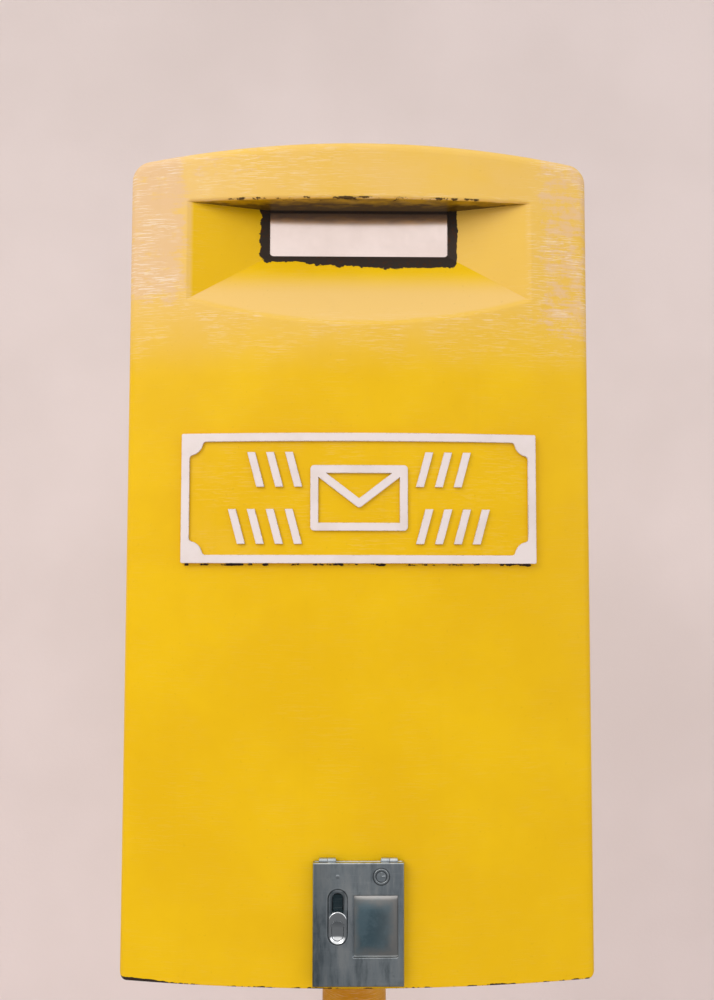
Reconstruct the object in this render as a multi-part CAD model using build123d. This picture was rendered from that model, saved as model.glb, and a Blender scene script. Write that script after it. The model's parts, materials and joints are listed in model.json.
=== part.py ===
from build123d import *
import math
import os

# A bow-fronted letter box on a round post. The origin is on the ground on the post's axis, +Z is up
# and the front faces -Y. Sizes are in mm.

# ---- the case
CASE_WIDTH = 450.0
CASE_HEIGHT = 800.0  # at the middle of the arched roof
CASE_DEPTH = 262.0  # from the foremost line of the front to the back
CASE_BOTTOM = 700.0  # above the ground
BOW_RISE = 24.4  # bulge of the front over its width
ARCH_RISE = 14.6  # rise of the roof over its width
WALL = 2.5
ROOF_CORNER = 20.0
FLOOR_CORNER = 8.0
FRONT_EDGE = 10.0  # rounding between the front and the roof and sides
BACK_EDGE = 6.0
SEAM_DEPTH = 150.0  # of the joint between the two shells, behind the foremost line
SEAL_THICKNESS = 3.0
SEAL_INSET = 0.8  # of the seal's outer edge, inside the case's surface
SEAM_FLANGE = 14.0
SEAM_SCREW_SPACING = 280.0  # up the sides
ROOF_SCREW_SPACING = 130.0  # across the roof

# ---- the recess and the letter slot
SLOT_WIDTH = 178.0
SLOT_HEIGHT = 46.0
SLOT_DEPTH = 39.3  # of the slot behind the foremost line
SLOT_CORNER = 4.0
RECESS_WIDTH = 336.0
RECESS_HEIGHT = 97.0  # at the mouth's corners
RECESS_DROP = 57.4  # of the level ceiling below the top of the roof
RECESS_EDGE = 3.0
SLOT_FLANGE_SIDE = 27.0
SLOT_FLANGE_TOP = 22.0
SLOT_FLANGE_FOOT = 16.0

# ---- the flap behind the slot and the plate that stops fishing
FLAP_THICKNESS = 1.5
FLAP_LAP = 7.0  # past the slot on each side
FLAP_FOOT_LAP = 6.0
FLAP_GAP = 0.4  # to the slot's flange
FLAP_SIDE_GAP = 1.2
FLAP_CORNER = 6.0
FLAP_OPEN = 70.0
FLAP_HEADROOM = 2.0  # from the recess's ceiling to the flap's knuckle
FLAP_PIN_RADIUS = 2.0
FLAP_PIN_HEAD = 2.6
FLAP_KNUCKLE_RADIUS = 4.5
EAR_THICKNESS = 2.0
BRACKET_FOOT = 13.0
BRACKET_HEIGHT = 24.0
BAFFLE_THICKNESS = 2.0
BAFFLE_SWING_GAP = 7.0
BAFFLE_LEAN = 20.0  # degrees from upright
BAFFLE_UP = 20.0  # from the foot of the flap axis's square to the baffle, along it
BAFFLE_DOWN = 75.0
BAFFLE_TAB = 20.0

# ---- the sign
SIGN_WIDTH = 339.0
SIGN_HEIGHT = 123.3
SIGN_FOOT = 390.4  # above the case's bottom
SIGN_THICKNESS = 3.0
SIGN_RELIEF = 2.6
SIGN_BORDER = 7.8
SIGN_CORNER = 1.5
BORDER_DISC = 13.0  # rounds that bulge into the field's corners
BORDER_FILLET = 3.5
STROKE = 7.5  # width of every raised mark
ENVELOPE_WIDTH = 92.0
ENVELOPE_HEIGHT = 62.0
ROW_SPACING = 54.0
SLASH_HEIGHT = 33.0
SLASH_LEAN = 9.0
SLASH_PITCH = 18.0
SLASH_START = 62.0
SLASHES_PER_ROW = (4, 3)  # on each side, lower row first
STUD_RADIUS = 3.0
STUD_INSET = 22.0

# ---- the lock cover and the plate behind it
COVER_WIDTH = 83.8
COVER_FOOT = 4.7  # above the case's bottom
COVER_HEIGHT = 110.9
COVER_PROUD = 9.0
COVER_SHEET = 1.5
COVER_SIDE_GAP = 0.8  # from the flanges' edges to the foremost line
COVER_SWING = 105.0
LOCK_PLATE_THICKNESS = 1.6
LOCK_PLATE_GAP = 0.7  # inside the cover's flanges
LOCK_PLATE_RISE = 2.0  # above the cover's foot
HINGE_SPREAD = 28.5  # of each cover hinge's middle from the cover's middle
COVER_KNUCKLE_RADIUS = 3.0
COVER_KNUCKLE_LENGTH = 7.5
COVER_PIN_RADIUS = 1.4
COVER_AXIS_RISE = 0.6  # above the cover's top
KNUCKLE_GAP = 0.4
WINDOW_LEFT = -5.6
WINDOW_RIGHT = 36.5
WINDOW_FOOT = 25.7  # above the cover's foot
WINDOW_HEIGHT = 56.5
WINDOW_CORNER = 1.5
TAG_THICKNESS = 1.2
TAG_RECESS = 0.6  # behind the cover's sheet
TAG_SHOW_GAP = 1.4  # left open in the window beside and above the tag
TAG_LAP = 1.6  # behind the sheet on the other two sides
TAG_EDGE = 0.5
HOLDER_SHEET = 0.8
HOLDER_LAP = 3.4

# ---- the catch in the cover
CATCH_X = -19.0
CATCH_SLOT_WIDTH = 11.0
CATCH_SLOT_FOOT = 41.0  # above the cover's foot
CATCH_SLOT_HEIGHT = 43.0
THUMB_WIDTH = 16.9
THUMB_FOOT = 38.0
THUMB_HEIGHT = 29.5
THUMB_PROUD = 1.8
SCOOP_RADIUS = 11.0
SCOOP_DEPTH = 2.9
SCOOP_LENGTH = 6.0  # between the middles of its round ends
CATCH_GAP = 0.3
CATCH_TRAVEL = 14.0
CATCH_SHEET = 1.0
CATCH_PLATE_WIDTH = 15.0
TONGUE_WIDTH = 9.0
TONGUE_STEP = 2.6  # of the tongue behind the plate it is bent from
TONGUE_REACH = 14.0
KEEPER_GAP = 2.0  # above the tongue when the catch is free
KEEPER_LIP = 8.0
KEEPER_SHEET = 1.0
MARK_RELIEF = 0.5
MARK_X = 21.0
MARK_HEIGHT = 98.5  # above the cover's foot
MARK_RADIUS = 7.0
MARK_STROKE = 1.5

# ---- the cam lock
LOCK_X = 15.0
LOCK_HEIGHT = 42.0  # above the case's bottom
LOCK_BODY_RADIUS = 9.0
LOCK_BEZEL_RADIUS = 11.0
LOCK_BEZEL = 1.6
LOCK_LENGTH = 26.0  # behind the foremost line
LOCK_NUT_RADIUS = 13.5
LOCK_NUT_THICKNESS = 5.0
PLUG_RADIUS = 6.0
RUNNING_GAP = 0.05
PLUG_SQUARE = 7.0
PLUG_SET = 0.2  # behind the bezel's face
KEYWAY_WIDTH = 1.6
KEYWAY_HEIGHT = 8.0
KEYWAY_DEPTH = 14.0
CAM_THICKNESS = 2.5
CAM_WIDTH = 13.0
CAM_REACH = 22.0
CAM_GAP = 0.4

# ---- the floor door
DOOR_LIFT = 8.0  # of its underside above the case's bottom
DOOR_SHEET = 2.0
DOOR_RIM = 10.0
DOOR_GAP = 1.6
DOOR_SWING = 90.0
DOOR_PIN_RADIUS = 2.0
DOOR_KNUCKLE_RADIUS = 4.0
DOOR_LEAF = 1.5
DOOR_LEAF_REACH = 28.0
DOOR_KNUCKLES = 9
DOOR_KNUCKLE_LENGTH = 42.0
STRIKE_SHEET = 3.0
STRIKE_LEDGE = 15.0
STRIKE_GAP = 1.5  # above the cam when it is locked
STRIKE_SIDE_GAP = 3.0  # from the cam's tip to the strike's upright
STRIKE_FRONT = 4.0  # in front of the cam
STRIKE_BACK = 23.0  # behind the cam's front
UPRIGHT_BACK = 6.0  # of the strike's upright behind the cam
STRIKE_RIVETS = (3.0, 16.0)  # behind the cam's front
STRIKE_FOOT = 26.0
LEAF_RIVET_LINE = 0.65  # of the leaf's reach from the hinge's axis
RIM_CLEARANCE = 6.0  # between the door's rim and the seam flanges above it

# ---- the post and what clamps the case to it
POST_DIAMETER = 76.1
POST_WALL = 3.2
POST_TOP = 1410.0
POST_CAP = 9.0
BASE_SIZE = 360.0
BASE_THICKNESS = 12.0
BASE_CORNER = 14.0
ANCHOR_SPACING = 280.0
ANCHOR_RADIUS = 9.0
GUSSET_RUN = 75.0
GUSSET_RISE = 95.0
GUSSET_THICKNESS = 8.0
GUSSET_NOSE = 12.0
SADDLE_THICKNESS = 11.0  # between the post and the case
SADDLE_WIDTH = 130.0
SADDLE_HEIGHT = 50.0
SADDLE_WRAP = 16.0  # how far its horns reach round the post
LOWER_CLAMP = 160.0  # above the case's bottom
UPPER_CLAMP = 640.0
UBOLT_RADIUS = 5.0
UBOLT_HOLE_GAP = 0.4
BACKING_THICKNESS = 4.0
BACKING_WIDTH = 150.0
WASHER_RADIUS = 10.0
WASHER_THICKNESS = 2.0
CLAMP_NUT_RADIUS = 9.2
CLAMP_NUT_HEIGHT = 8.0
THREAD_END = 5.0

# ---- small fasteners
SCREW_RADIUS = 3.0
SCREW_HEAD_RADIUS = 5.5
SCREW_HEAD_HEIGHT = 4.0
NUT_RADIUS = 6.0
NUT_HEIGHT = 5.0
RIVET_RADIUS = 2.0
RIVET_HEAD_RADIUS = 3.8
RIVET_HEAD_HEIGHT = 1.2

# ---- places that follow from those sizes
HALF_WIDTH = CASE_WIDTH / 2
CASE_TOP = CASE_BOTTOM + CASE_HEIGHT
POST_RADIUS = POST_DIAMETER / 2
BACK_Y = -(POST_RADIUS + SADDLE_THICKNESS)
APEX_Y = BACK_Y - CASE_DEPTH
SEAM_Y = APEX_Y + SEAM_DEPTH
REAR_SEAM_Y = SEAM_Y + SEAL_THICKNESS
BOW_RADIUS = (HALF_WIDTH**2 + BOW_RISE**2) / (2 * BOW_RISE)
ARCH_RADIUS = (HALF_WIDTH**2 + ARCH_RISE**2) / (2 * ARCH_RISE)
BOW_CENTRE_Y = APEX_Y + BOW_RADIUS
BACK_INNER_Y = BACK_Y - WALL

SLOT_Y = APEX_Y + SLOT_DEPTH
SLOT_BACK_Y = SLOT_Y + WALL
RECESS_TOP = CASE_TOP - RECESS_DROP
SLOT_BOTTOM = RECESS_TOP - SLOT_HEIGHT
SLOT_HALF = SLOT_WIDTH / 2
FLAP_FRONT_Y = SLOT_BACK_Y + FLAP_GAP
FLAP_AXIS_Y = FLAP_FRONT_Y + FLAP_KNUCKLE_RADIUS
FLAP_AXIS_Z = RECESS_TOP + WALL + FLAP_KNUCKLE_RADIUS + FLAP_HEADROOM
FLAP_HALF = SLOT_HALF + FLAP_LAP
FLAP_FOOT = SLOT_BOTTOM - FLAP_FOOT_LAP
FLAP_REACH = math.hypot(FLAP_AXIS_Z - FLAP_FOOT, FLAP_KNUCKLE_RADIUS)

DOOR_BOTTOM = CASE_BOTTOM + DOOR_LIFT
DOOR_TOP = DOOR_BOTTOM + DOOR_SHEET
DOOR_AXIS_Y = BACK_INNER_Y - DOOR_KNUCKLE_RADIUS
DOOR_AXIS_Z = DOOR_BOTTOM - DOOR_KNUCKLE_RADIUS
DOOR_REAR_Y = DOOR_AXIS_Y - DOOR_KNUCKLE_RADIUS - KNUCKLE_GAP
FLANGE_FOOT = DOOR_BOTTOM + DOOR_RIM + RIM_CLEARANCE

COVER_BOTTOM = CASE_BOTTOM + COVER_FOOT
COVER_TOP = COVER_BOTTOM + COVER_HEIGHT
COVER_FACE_Y = APEX_Y - COVER_PROUD
COVER_BACK_Y = COVER_FACE_Y + COVER_SHEET
COVER_AXIS_Y = APEX_Y - KNUCKLE_GAP - COVER_KNUCKLE_RADIUS
COVER_AXIS_Z = COVER_TOP + COVER_AXIS_RISE
LOCK_PLATE_Y = APEX_Y - LOCK_PLATE_THICKNESS
LOCK_PLATE_HALF = COVER_WIDTH / 2 - COVER_SHEET - LOCK_PLATE_GAP
LOCK_PLATE_TOP = COVER_TOP - COVER_SHEET - LOCK_PLATE_GAP
LOCK_PLATE_FOOT = COVER_BOTTOM + LOCK_PLATE_RISE
LOCK_Z = CASE_BOTTOM + LOCK_HEIGHT
LOCK_END_Y = APEX_Y + LOCK_LENGTH
CAM_Y = LOCK_END_Y + CAM_GAP
SIGN_MIDDLE = CASE_BOTTOM + SIGN_FOOT + SIGN_HEIGHT / 2


def block(x0, x1, y0, y1, z0, z1):
    """Box between two opposite corners."""
    return Pos((x0 + x1) / 2, (y0 + y1) / 2, (z0 + z1) / 2) * Box(x1 - x0, y1 - y0, z1 - z0)


def rod_x(radius, x0, x1, y, z):
    """Round rod along X."""
    return Pos((x0 + x1) / 2, y, z) * Rot(0, 90, 0) * Cylinder(radius, x1 - x0)


def rod_y(radius, y0, y1, x, z):
    """Round rod along Y."""
    return Pos(x, (y0 + y1) / 2, z) * Rot(90, 0, 0) * Cylinder(radius, y1 - y0)


def rod_z(radius, z0, z1, x, y):
    """Round rod along Z."""
    return Pos(x, y, (z0 + z1) / 2) * Cylinder(radius, z1 - z0)


def from_front(sketch, y0, y1):
    """A flat shape drawn as seen from the front, with its second coordinate the height, made solid."""
    return Pos(0, y1, 0) * extrude(Plane.XZ * sketch, amount=y1 - y0)


def hexagon_y(radius, y0, y1, x, z):
    """Six-sided bar along Y, with its corners at the radius."""
    return from_front(Pos(x, z) * RegularPolygon(radius, 6), y0, y1)


def front_y(x, inset=0.0):
    """Where the bowed front lies at a distance x from its middle, or a surface inside it."""
    return BOW_CENTRE_Y - math.sqrt((BOW_RADIUS - inset) ** 2 - x**2)


def roof_z(x, inset=0.0):
    """Height of the arched roof at a distance x from its middle, or of a surface inside it."""
    return CASE_TOP - ARCH_RADIUS + math.sqrt((ARCH_RADIUS - inset) ** 2 - x**2)


def case_outline(inset, foot):
    """The case as seen from the front: straight sides under a gentle arch."""
    half = HALF_WIDTH - inset
    shoulder = roof_z(half, inset)
    arch = ThreePointArc((-half, shoulder), (0, CASE_TOP - inset), (half, shoulder))
    sides = Polyline((half, shoulder), (half, foot), (-half, foot), (-half, shoulder))
    face = make_face([arch, sides])
    return fillet(face.vertices().sort_by(Axis.Y)[-2:], ROOF_CORNER - inset)


def envelope(inset, foot):
    """The case's outside as one solid, or the solid that a surface inside it bounds."""
    half = HALF_WIDTH - inset
    bow = ThreePointArc((-half, front_y(half, inset)), (0, APEX_Y + inset), (half, front_y(half, inset)))
    sides = Polyline(
        (half, front_y(half, inset)),
        (half, BACK_Y - inset),
        (-half, BACK_Y - inset),
        (-half, front_y(half, inset)),
    )
    plan = Pos(0, 0, foot - 1) * extrude(make_face([bow, sides]), amount=CASE_TOP + 2 - foot)
    body = from_front(case_outline(inset, foot), APEX_Y - 1, BACK_Y + 1) & plan
    front_edges = body.faces().sort_by(Axis.Y)[0].edges().sort_by(Axis.Z)[1:]
    body = fillet(front_edges, FRONT_EDGE - inset)
    back_edges = body.faces().sort_by(Axis.Y)[-1].edges().sort_by(Axis.Z)[1:]
    return fillet(back_edges, BACK_EDGE - inset)


def case_outside():
    """The closed outside of the case, with its bottom corners rounded."""
    tall = CASE_HEIGHT * 2
    face = Pos(0, CASE_BOTTOM + tall / 2) * Rectangle(CASE_WIDTH, tall)
    face = fillet(face.vertices().sort_by(Axis.Y)[:2], FLOOR_CORNER)
    return envelope(0, CASE_BOTTOM) & from_front(face, APEX_Y - 1, BACK_Y + 1)


def recess_block(grow):
    """The flared recess as a solid, or that solid with its walls moved out by grow."""
    corner_y = front_y(RECESS_WIDTH / 2)
    side_flare = (RECESS_WIDTH - SLOT_WIDTH) / 2 / (SLOT_Y - corner_y)
    floor_flare = (RECESS_HEIGHT - SLOT_HEIGHT) / (SLOT_Y - corner_y)
    sections = []
    for y in (APEX_Y - 5, SLOT_BACK_Y if grow else SLOT_Y):
        half = SLOT_HALF + side_flare * (SLOT_Y - y) + grow * math.hypot(1, side_flare)
        foot = SLOT_BOTTOM - floor_flare * (SLOT_Y - y) - grow * math.hypot(1, floor_flare)
        top = RECESS_TOP + grow
        face = Pos(0, (top + foot) / 2) * Rectangle(half * 2, top - foot)
        sections.append(Pos(0, y, 0) * (Plane.XZ * face))
    return loft(sections, ruled=True)


def seam_places():
    """Where the screws of the seam sit, as seen from the front."""
    inset = WALL + SEAM_FLANGE / 2
    middle = CASE_BOTTOM + CASE_HEIGHT / 2
    places = []
    for side in (-1, 1):
        for step in (-1, 0, 1):
            places.append((side * (HALF_WIDTH - inset), middle + step * SEAM_SCREW_SPACING))
    for step in (-1, 0, 1):
        x = step * ROOF_SCREW_SPACING
        places.append((x, roof_z(x, inset)))
    return places


def seam_ring(outer, y0, y1):
    """The ring that follows the seam, open at its foot so that the floor stays clear."""
    ring = case_outline(outer, CASE_BOTTOM) - case_outline(WALL + SEAM_FLANGE, CASE_BOTTOM - 10)
    solid = from_front(ring, y0, y1)
    inner = HALF_WIDTH - WALL
    solid -= block(-inner, inner, y0 - 1, y1 + 1, CASE_BOTTOM - 20, FLANGE_FOOT)
    for x, z in seam_places():
        solid -= rod_y(SCREW_RADIUS, y0 - 1, y1 + 1, x, z)
    return solid


def sign_stud_places():
    """Where the sign's four studs pass through the front."""
    half = SIGN_WIDTH / 2 - STUD_INSET
    rise = SIGN_HEIGHT / 2 - STUD_INSET
    return [(sx * half, SIGN_MIDDLE + sz * rise) for sx in (-1, 1) for sz in (-1, 1)]


def plate_rivet_places():
    """Where the lock plate is riveted to the front."""
    half = LOCK_PLATE_HALF - 6
    return [(sx * half, z) for sx in (-1, 1) for z in (LOCK_PLATE_FOOT + 8, LOCK_PLATE_TOP - 10)]


def hold(parts):
    """Several separate solids as one group."""
    return Compound(children=parts)


def rivet(grip):
    """A rivet along Z, its head standing on the ground plane and its tail under the grip."""
    head = Pos(0, 0, RIVET_HEAD_HEIGHT / 2) * Cylinder(RIVET_HEAD_RADIUS, RIVET_HEAD_HEIGHT)
    head = fillet(head.edges().group_by(Axis.Z)[-1], RIVET_HEAD_HEIGHT * 0.7)
    tail = Pos(0, 0, -grip - RIVET_HEAD_HEIGHT / 2) * Cylinder(RIVET_HEAD_RADIUS * 0.9, RIVET_HEAD_HEIGHT)
    return head + rod_z(RIVET_RADIUS, -grip, 0, 0, 0) + tail


def nut_y(radius, bore, y0, y1, x, z):
    """Hexagon nut along Y."""
    return hexagon_y(radius, y0, y1, x, z) - rod_y(bore, y0 - 1, y1 + 1, x, z)


def on_bow(sketch, near, far):
    """A shape drawn as seen from the front, laid on the bow between two heights above its surface."""
    middle_z = CASE_BOTTOM + CASE_HEIGHT / 2
    place = Pos(0, BOW_CENTRE_Y, middle_z)
    ring = Cylinder(BOW_RADIUS + far, CASE_HEIGHT) - Cylinder(BOW_RADIUS + near, CASE_HEIGHT)
    return from_front(sketch, APEX_Y - far - 1, APEX_Y + BOW_RISE) & (place * ring)


# ---------------------------------------------------------------- the case


def hood(y0, y1):
    """The case's painted skin between two distances, open underneath."""
    skin = case_outside() - envelope(WALL, CASE_BOTTOM - 10)
    return skin & block(-CASE_WIDTH, CASE_WIDTH, y0, y1, 0, CASE_TOP + 10)


def front_shell():
    """Front, roof and sides forward of the seam, with the flared recess and the slot's flange."""
    side = SLOT_HALF + SLOT_FLANGE_SIDE
    low, high = SLOT_BOTTOM - SLOT_FLANGE_FOOT, RECESS_TOP + SLOT_FLANGE_TOP
    flange = block(-side, side, SLOT_Y, SLOT_BACK_Y, low, high)
    shell = hood(APEX_Y - 10, SEAM_Y) + (recess_block(WALL) & case_outside()) + flange - recess_block(0)
    edge_reach = RECESS_EDGE * 2
    mouth = [
        edge
        for edge in shell.edges()
        if abs(math.hypot(edge.center().X, edge.center().Y - BOW_CENTRE_Y) - BOW_RADIUS) < 1
        and abs(edge.center().X) < RECESS_WIDTH / 2 + edge_reach
        and FLANGE_FOOT < edge.center().Z < RECESS_TOP + edge_reach
    ]
    shell = fillet(mouth, RECESS_EDGE)
    slot = Pos(0, RECESS_TOP - SLOT_HEIGHT / 2) * Rectangle(SLOT_WIDTH, SLOT_HEIGHT)
    slot = fillet(slot.vertices().sort_by(Axis.Y)[:2], SLOT_CORNER)
    shell -= from_front(slot, SLOT_Y - 1, SLOT_BACK_Y + 1)
    shell += seam_ring(0, SEAM_Y - WALL, SEAM_Y) & case_outside()
    for x, z in sign_stud_places():
        shell -= rod_y(STUD_RADIUS, APEX_Y - 1, APEX_Y + BOW_RISE + WALL, x, z)
    for x, z in plate_rivet_places():
        shell -= rod_y(RIVET_RADIUS, APEX_Y - 1, APEX_Y + SLOT_DEPTH, x, z)
    for x, z in bracket_rivet_places():
        shell -= rod_y(RIVET_RADIUS, SLOT_Y - 1, SLOT_BACK_Y + 1, x, z)
    return shell - rod_y(LOCK_BODY_RADIUS, APEX_Y - 1, APEX_Y + SLOT_DEPTH, LOCK_X, LOCK_Z)


def rear_case():
    """Back, rear roof and rear sides, with the holes for the clamps and the door's hinge."""
    shell = hood(REAR_SEAM_Y, BACK_Y + 10) + (seam_ring(0, REAR_SEAM_Y, REAR_SEAM_Y + WALL) & case_outside())
    for x, z in clamp_places():
        shell -= rod_y(UBOLT_RADIUS + UBOLT_HOLE_GAP, BACK_INNER_Y - 1, BACK_Y + 1, x, z)
    for x in leaf_rivet_places():
        shell -= rod_y(RIVET_RADIUS, BACK_INNER_Y - 1, BACK_Y + 1, x, leaf_rivet_z())
    return shell


def case_seal():
    """Rubber strip squeezed between the two shells."""
    return seam_ring(SEAL_INSET, SEAM_Y, REAR_SEAM_Y) & block(
        -CASE_WIDTH, CASE_WIDTH, SEAM_Y - 1, REAR_SEAM_Y + 1, CASE_BOTTOM + FLOOR_CORNER, CASE_TOP
    )


def case_screws():
    """Hexagon screws through the seam's flanges."""
    front, back = SEAM_Y - WALL, REAR_SEAM_Y + WALL
    screws = []
    for x, z in seam_places():
        head = hexagon_y(SCREW_HEAD_RADIUS, front - SCREW_HEAD_HEIGHT, front, x, z)
        screws.append(head + rod_y(SCREW_RADIUS, front, back + NUT_HEIGHT + 2, x, z))
    return hold(screws)


def case_nuts():
    """Nuts on the seam's screws."""
    back = REAR_SEAM_Y + WALL
    return hold([nut_y(NUT_RADIUS, SCREW_RADIUS, back, back + NUT_HEIGHT, x, z) for x, z in seam_places()])


# ---------------------------------------------------------------- the flap and the baffle


def ear_inner():
    """Distance of the flap brackets' ears from the middle."""
    return FLAP_HALF + FLAP_SIDE_GAP


def bracket_rivet_places():
    """Where the flap's brackets are riveted to the slot's flange."""
    x = ear_inner() + EAR_THICKNESS + BRACKET_FOOT / 2
    rise = BRACKET_HEIGHT / 2 - RIVET_HEAD_RADIUS - 1
    return [(side * x, FLAP_AXIS_Z + step * rise) for side in (-1, 1) for step in (-1, 1)]


def slot_flap():
    """Stainless flap that hangs behind the slot from its rolled top edge."""
    face = Pos(0, (FLAP_FOOT + FLAP_AXIS_Z) / 2) * Rectangle(FLAP_HALF * 2, FLAP_AXIS_Z - FLAP_FOOT)
    face = fillet(face.vertices().sort_by(Axis.Y)[:2], FLAP_CORNER)
    flap = from_front(face, FLAP_FRONT_Y, FLAP_FRONT_Y + FLAP_THICKNESS)
    flap += rod_x(FLAP_KNUCKLE_RADIUS, -FLAP_HALF, FLAP_HALF, FLAP_AXIS_Y, FLAP_AXIS_Z)
    bore = FLAP_PIN_RADIUS + RUNNING_GAP
    return flap - rod_x(bore, -FLAP_HALF - 1, FLAP_HALF + 1, FLAP_AXIS_Y, FLAP_AXIS_Z)


def flap_brackets():
    """Two angle brackets whose ears hold the flap's pin."""
    low, high = FLAP_AXIS_Z - BRACKET_HEIGHT / 2, FLAP_AXIS_Z + BRACKET_HEIGHT / 2
    inner, outer = ear_inner(), ear_inner() + EAR_THICKNESS
    brackets = []
    for side in (-1, 1):
        x0, x1 = sorted((side * inner, side * outer))
        ear = block(x0, x1, SLOT_BACK_Y, FLAP_AXIS_Y + FLAP_KNUCKLE_RADIUS * 1.5, low, high)
        x0, x1 = sorted((side * inner, side * (outer + BRACKET_FOOT)))
        bracket = ear + block(x0, x1, SLOT_BACK_Y, SLOT_BACK_Y + EAR_THICKNESS, low, high)
        bracket -= rod_x(FLAP_PIN_RADIUS, -outer - 1, outer + 1, FLAP_AXIS_Y, FLAP_AXIS_Z)
        for x, z in bracket_rivet_places():
            bracket -= rod_y(RIVET_RADIUS, SLOT_BACK_Y - 1, SLOT_BACK_Y + EAR_THICKNESS + 1, x, z)
        brackets.append(bracket)
    return hold(brackets)


def flap_pin():
    """Pin through the brackets and the flap's rolled edge, with a head at each end."""
    outer = ear_inner() + EAR_THICKNESS
    pin = rod_x(FLAP_PIN_RADIUS, -outer, outer, FLAP_AXIS_Y, FLAP_AXIS_Z)
    for x0, x1 in ((-outer - 2, -outer), (outer, outer + 2)):
        pin += rod_x(FLAP_PIN_HEAD, x0, x1, FLAP_AXIS_Y, FLAP_AXIS_Z)
    return pin


def bracket_rivets():
    """Rivets through the slot's flange and the flap's brackets, heads inside the case."""
    grip = WALL + EAR_THICKNESS
    head_y = SLOT_BACK_Y + EAR_THICKNESS
    return hold([Pos(x, head_y, z) * Rot(-90, 0, 0) * rivet(grip) for x, z in bracket_rivet_places()])


def baffle_plate():
    """Leaning plate behind the flap, welded to the sides by its end tabs."""
    half = HALF_WIDTH - WALL
    near = FLAP_REACH + BAFFLE_SWING_GAP
    plate = block(-half, half, near, near + BAFFLE_THICKNESS, -BAFFLE_DOWN, BAFFLE_UP)
    for x0, x1 in ((-half, BAFFLE_THICKNESS - half), (half - BAFFLE_THICKNESS, half)):
        plate += block(x0, x1, near, near + BAFFLE_TAB, -BAFFLE_DOWN, BAFFLE_UP)
    return Pos(0, FLAP_AXIS_Y, FLAP_AXIS_Z) * Rot(-BAFFLE_LEAN, 0, 0) * plate


# ---------------------------------------------------------------- the sign


def sign_face(inset):
    """The sign's outline moved in by inset."""
    face = Rectangle(SIGN_WIDTH - inset * 2, SIGN_HEIGHT - inset * 2)
    return Pos(0, SIGN_MIDDLE) * face


def sign_plate():
    """Cast plate that follows the bow, with four studs behind it."""
    face = fillet(sign_face(0).vertices(), SIGN_CORNER)
    plate = on_bow(face, 0, SIGN_THICKNESS)
    for x, z in sign_stud_places():
        plate += rod_y(STUD_RADIUS, front_y(x) - SIGN_THICKNESS / 2, stud_end(x), x, z)
    return plate


def nut_seat(x):
    """Where a sign nut's face lies inside the front."""
    return front_y(abs(x) + NUT_RADIUS, WALL)


def stud_end(x):
    """How far a sign stud reaches behind the front."""
    return nut_seat(x) + NUT_HEIGHT + 3


def sign_frame():
    """Raised white border with a round bulge in each corner of its field."""
    field = sign_face(SIGN_BORDER)
    border = fillet(sign_face(0).vertices(), SIGN_CORNER) - field
    half_x = SIGN_WIDTH / 2 - SIGN_BORDER
    half_z = SIGN_HEIGHT / 2 - SIGN_BORDER
    for sx in (-1, 1):
        for sz in (-1, 1):
            disc = Pos(sx * half_x, SIGN_MIDDLE + sz * half_z) * Circle(BORDER_DISC)
            border += disc & sign_face(SIGN_BORDER / 2)
    crooks = [v for v in border.vertices() if on_field_edge(v.X, v.Y, half_x, half_z)]
    return on_bow(fillet(crooks, BORDER_FILLET), SIGN_THICKNESS, SIGN_THICKNESS + SIGN_RELIEF)


def on_field_edge(x, z, half_x, half_z):
    """Whether a corner of the border is where a bulge meets a straight side of the field."""
    rise = abs(z - SIGN_MIDDLE)
    side = abs(abs(x) - half_x) < 0.01 and abs(rise - half_z + BORDER_DISC) < 0.01
    level = abs(rise - half_z) < 0.01 and abs(abs(x) - half_x + BORDER_DISC) < 0.01
    return side or level


def sign_emblem():
    """Raised white marks: a plain envelope between two rows of leaning strokes."""
    outer = Rectangle(ENVELOPE_WIDTH, ENVELOPE_HEIGHT)
    inner = Rectangle(ENVELOPE_WIDTH - STROKE * 2, ENVELOPE_HEIGHT - STROKE * 2)
    envelope_mark = fillet(outer.vertices(), STROKE / 2) - inner
    top, tip = ENVELOPE_HEIGHT / 2 - STROKE / 2, -ENVELOPE_HEIGHT / 12
    for side in (-1, 1):
        corner = side * (ENVELOPE_WIDTH / 2 - STROKE / 2)
        run = math.hypot(corner, top - tip)
        tilt = math.degrees(math.atan2(top - tip, corner))
        bar = Pos(corner / 2, (top + tip) / 2) * Rot(0, 0, tilt) * SlotCenterToCenter(run, STROKE)
        envelope_mark += bar & outer
    marks = [Pos(0, SIGN_MIDDLE) * envelope_mark]
    for row, count in enumerate(SLASHES_PER_ROW):
        height = SIGN_MIDDLE + (row - 0.5) * ROW_SPACING
        for side in (-1, 1):
            for number in range(count):
                marks.append(Pos(side * (SLASH_START + number * SLASH_PITCH), height) * slash(side))
    return hold([on_bow(mark, SIGN_THICKNESS, SIGN_THICKNESS + SIGN_RELIEF) for mark in marks])


def slash(side):
    """One leaning stroke, drawn flat."""
    rise, lean, half = SLASH_HEIGHT / 2, side * SLASH_LEAN / 2, STROKE / 2
    corners = [(-lean - half, -rise), (half - lean, -rise), (half + lean, rise), (lean - half, rise)]
    return make_face(Polyline(*corners, close=True))


def sign_nuts():
    """Nuts on the sign's studs, inside the case."""
    return hold(
        [
            nut_y(NUT_RADIUS, STUD_RADIUS, nut_seat(x), nut_seat(x) + NUT_HEIGHT, x, z)
            for x, z in sign_stud_places()
        ]
    )


# ---------------------------------------------------------------- the lock cover


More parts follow.
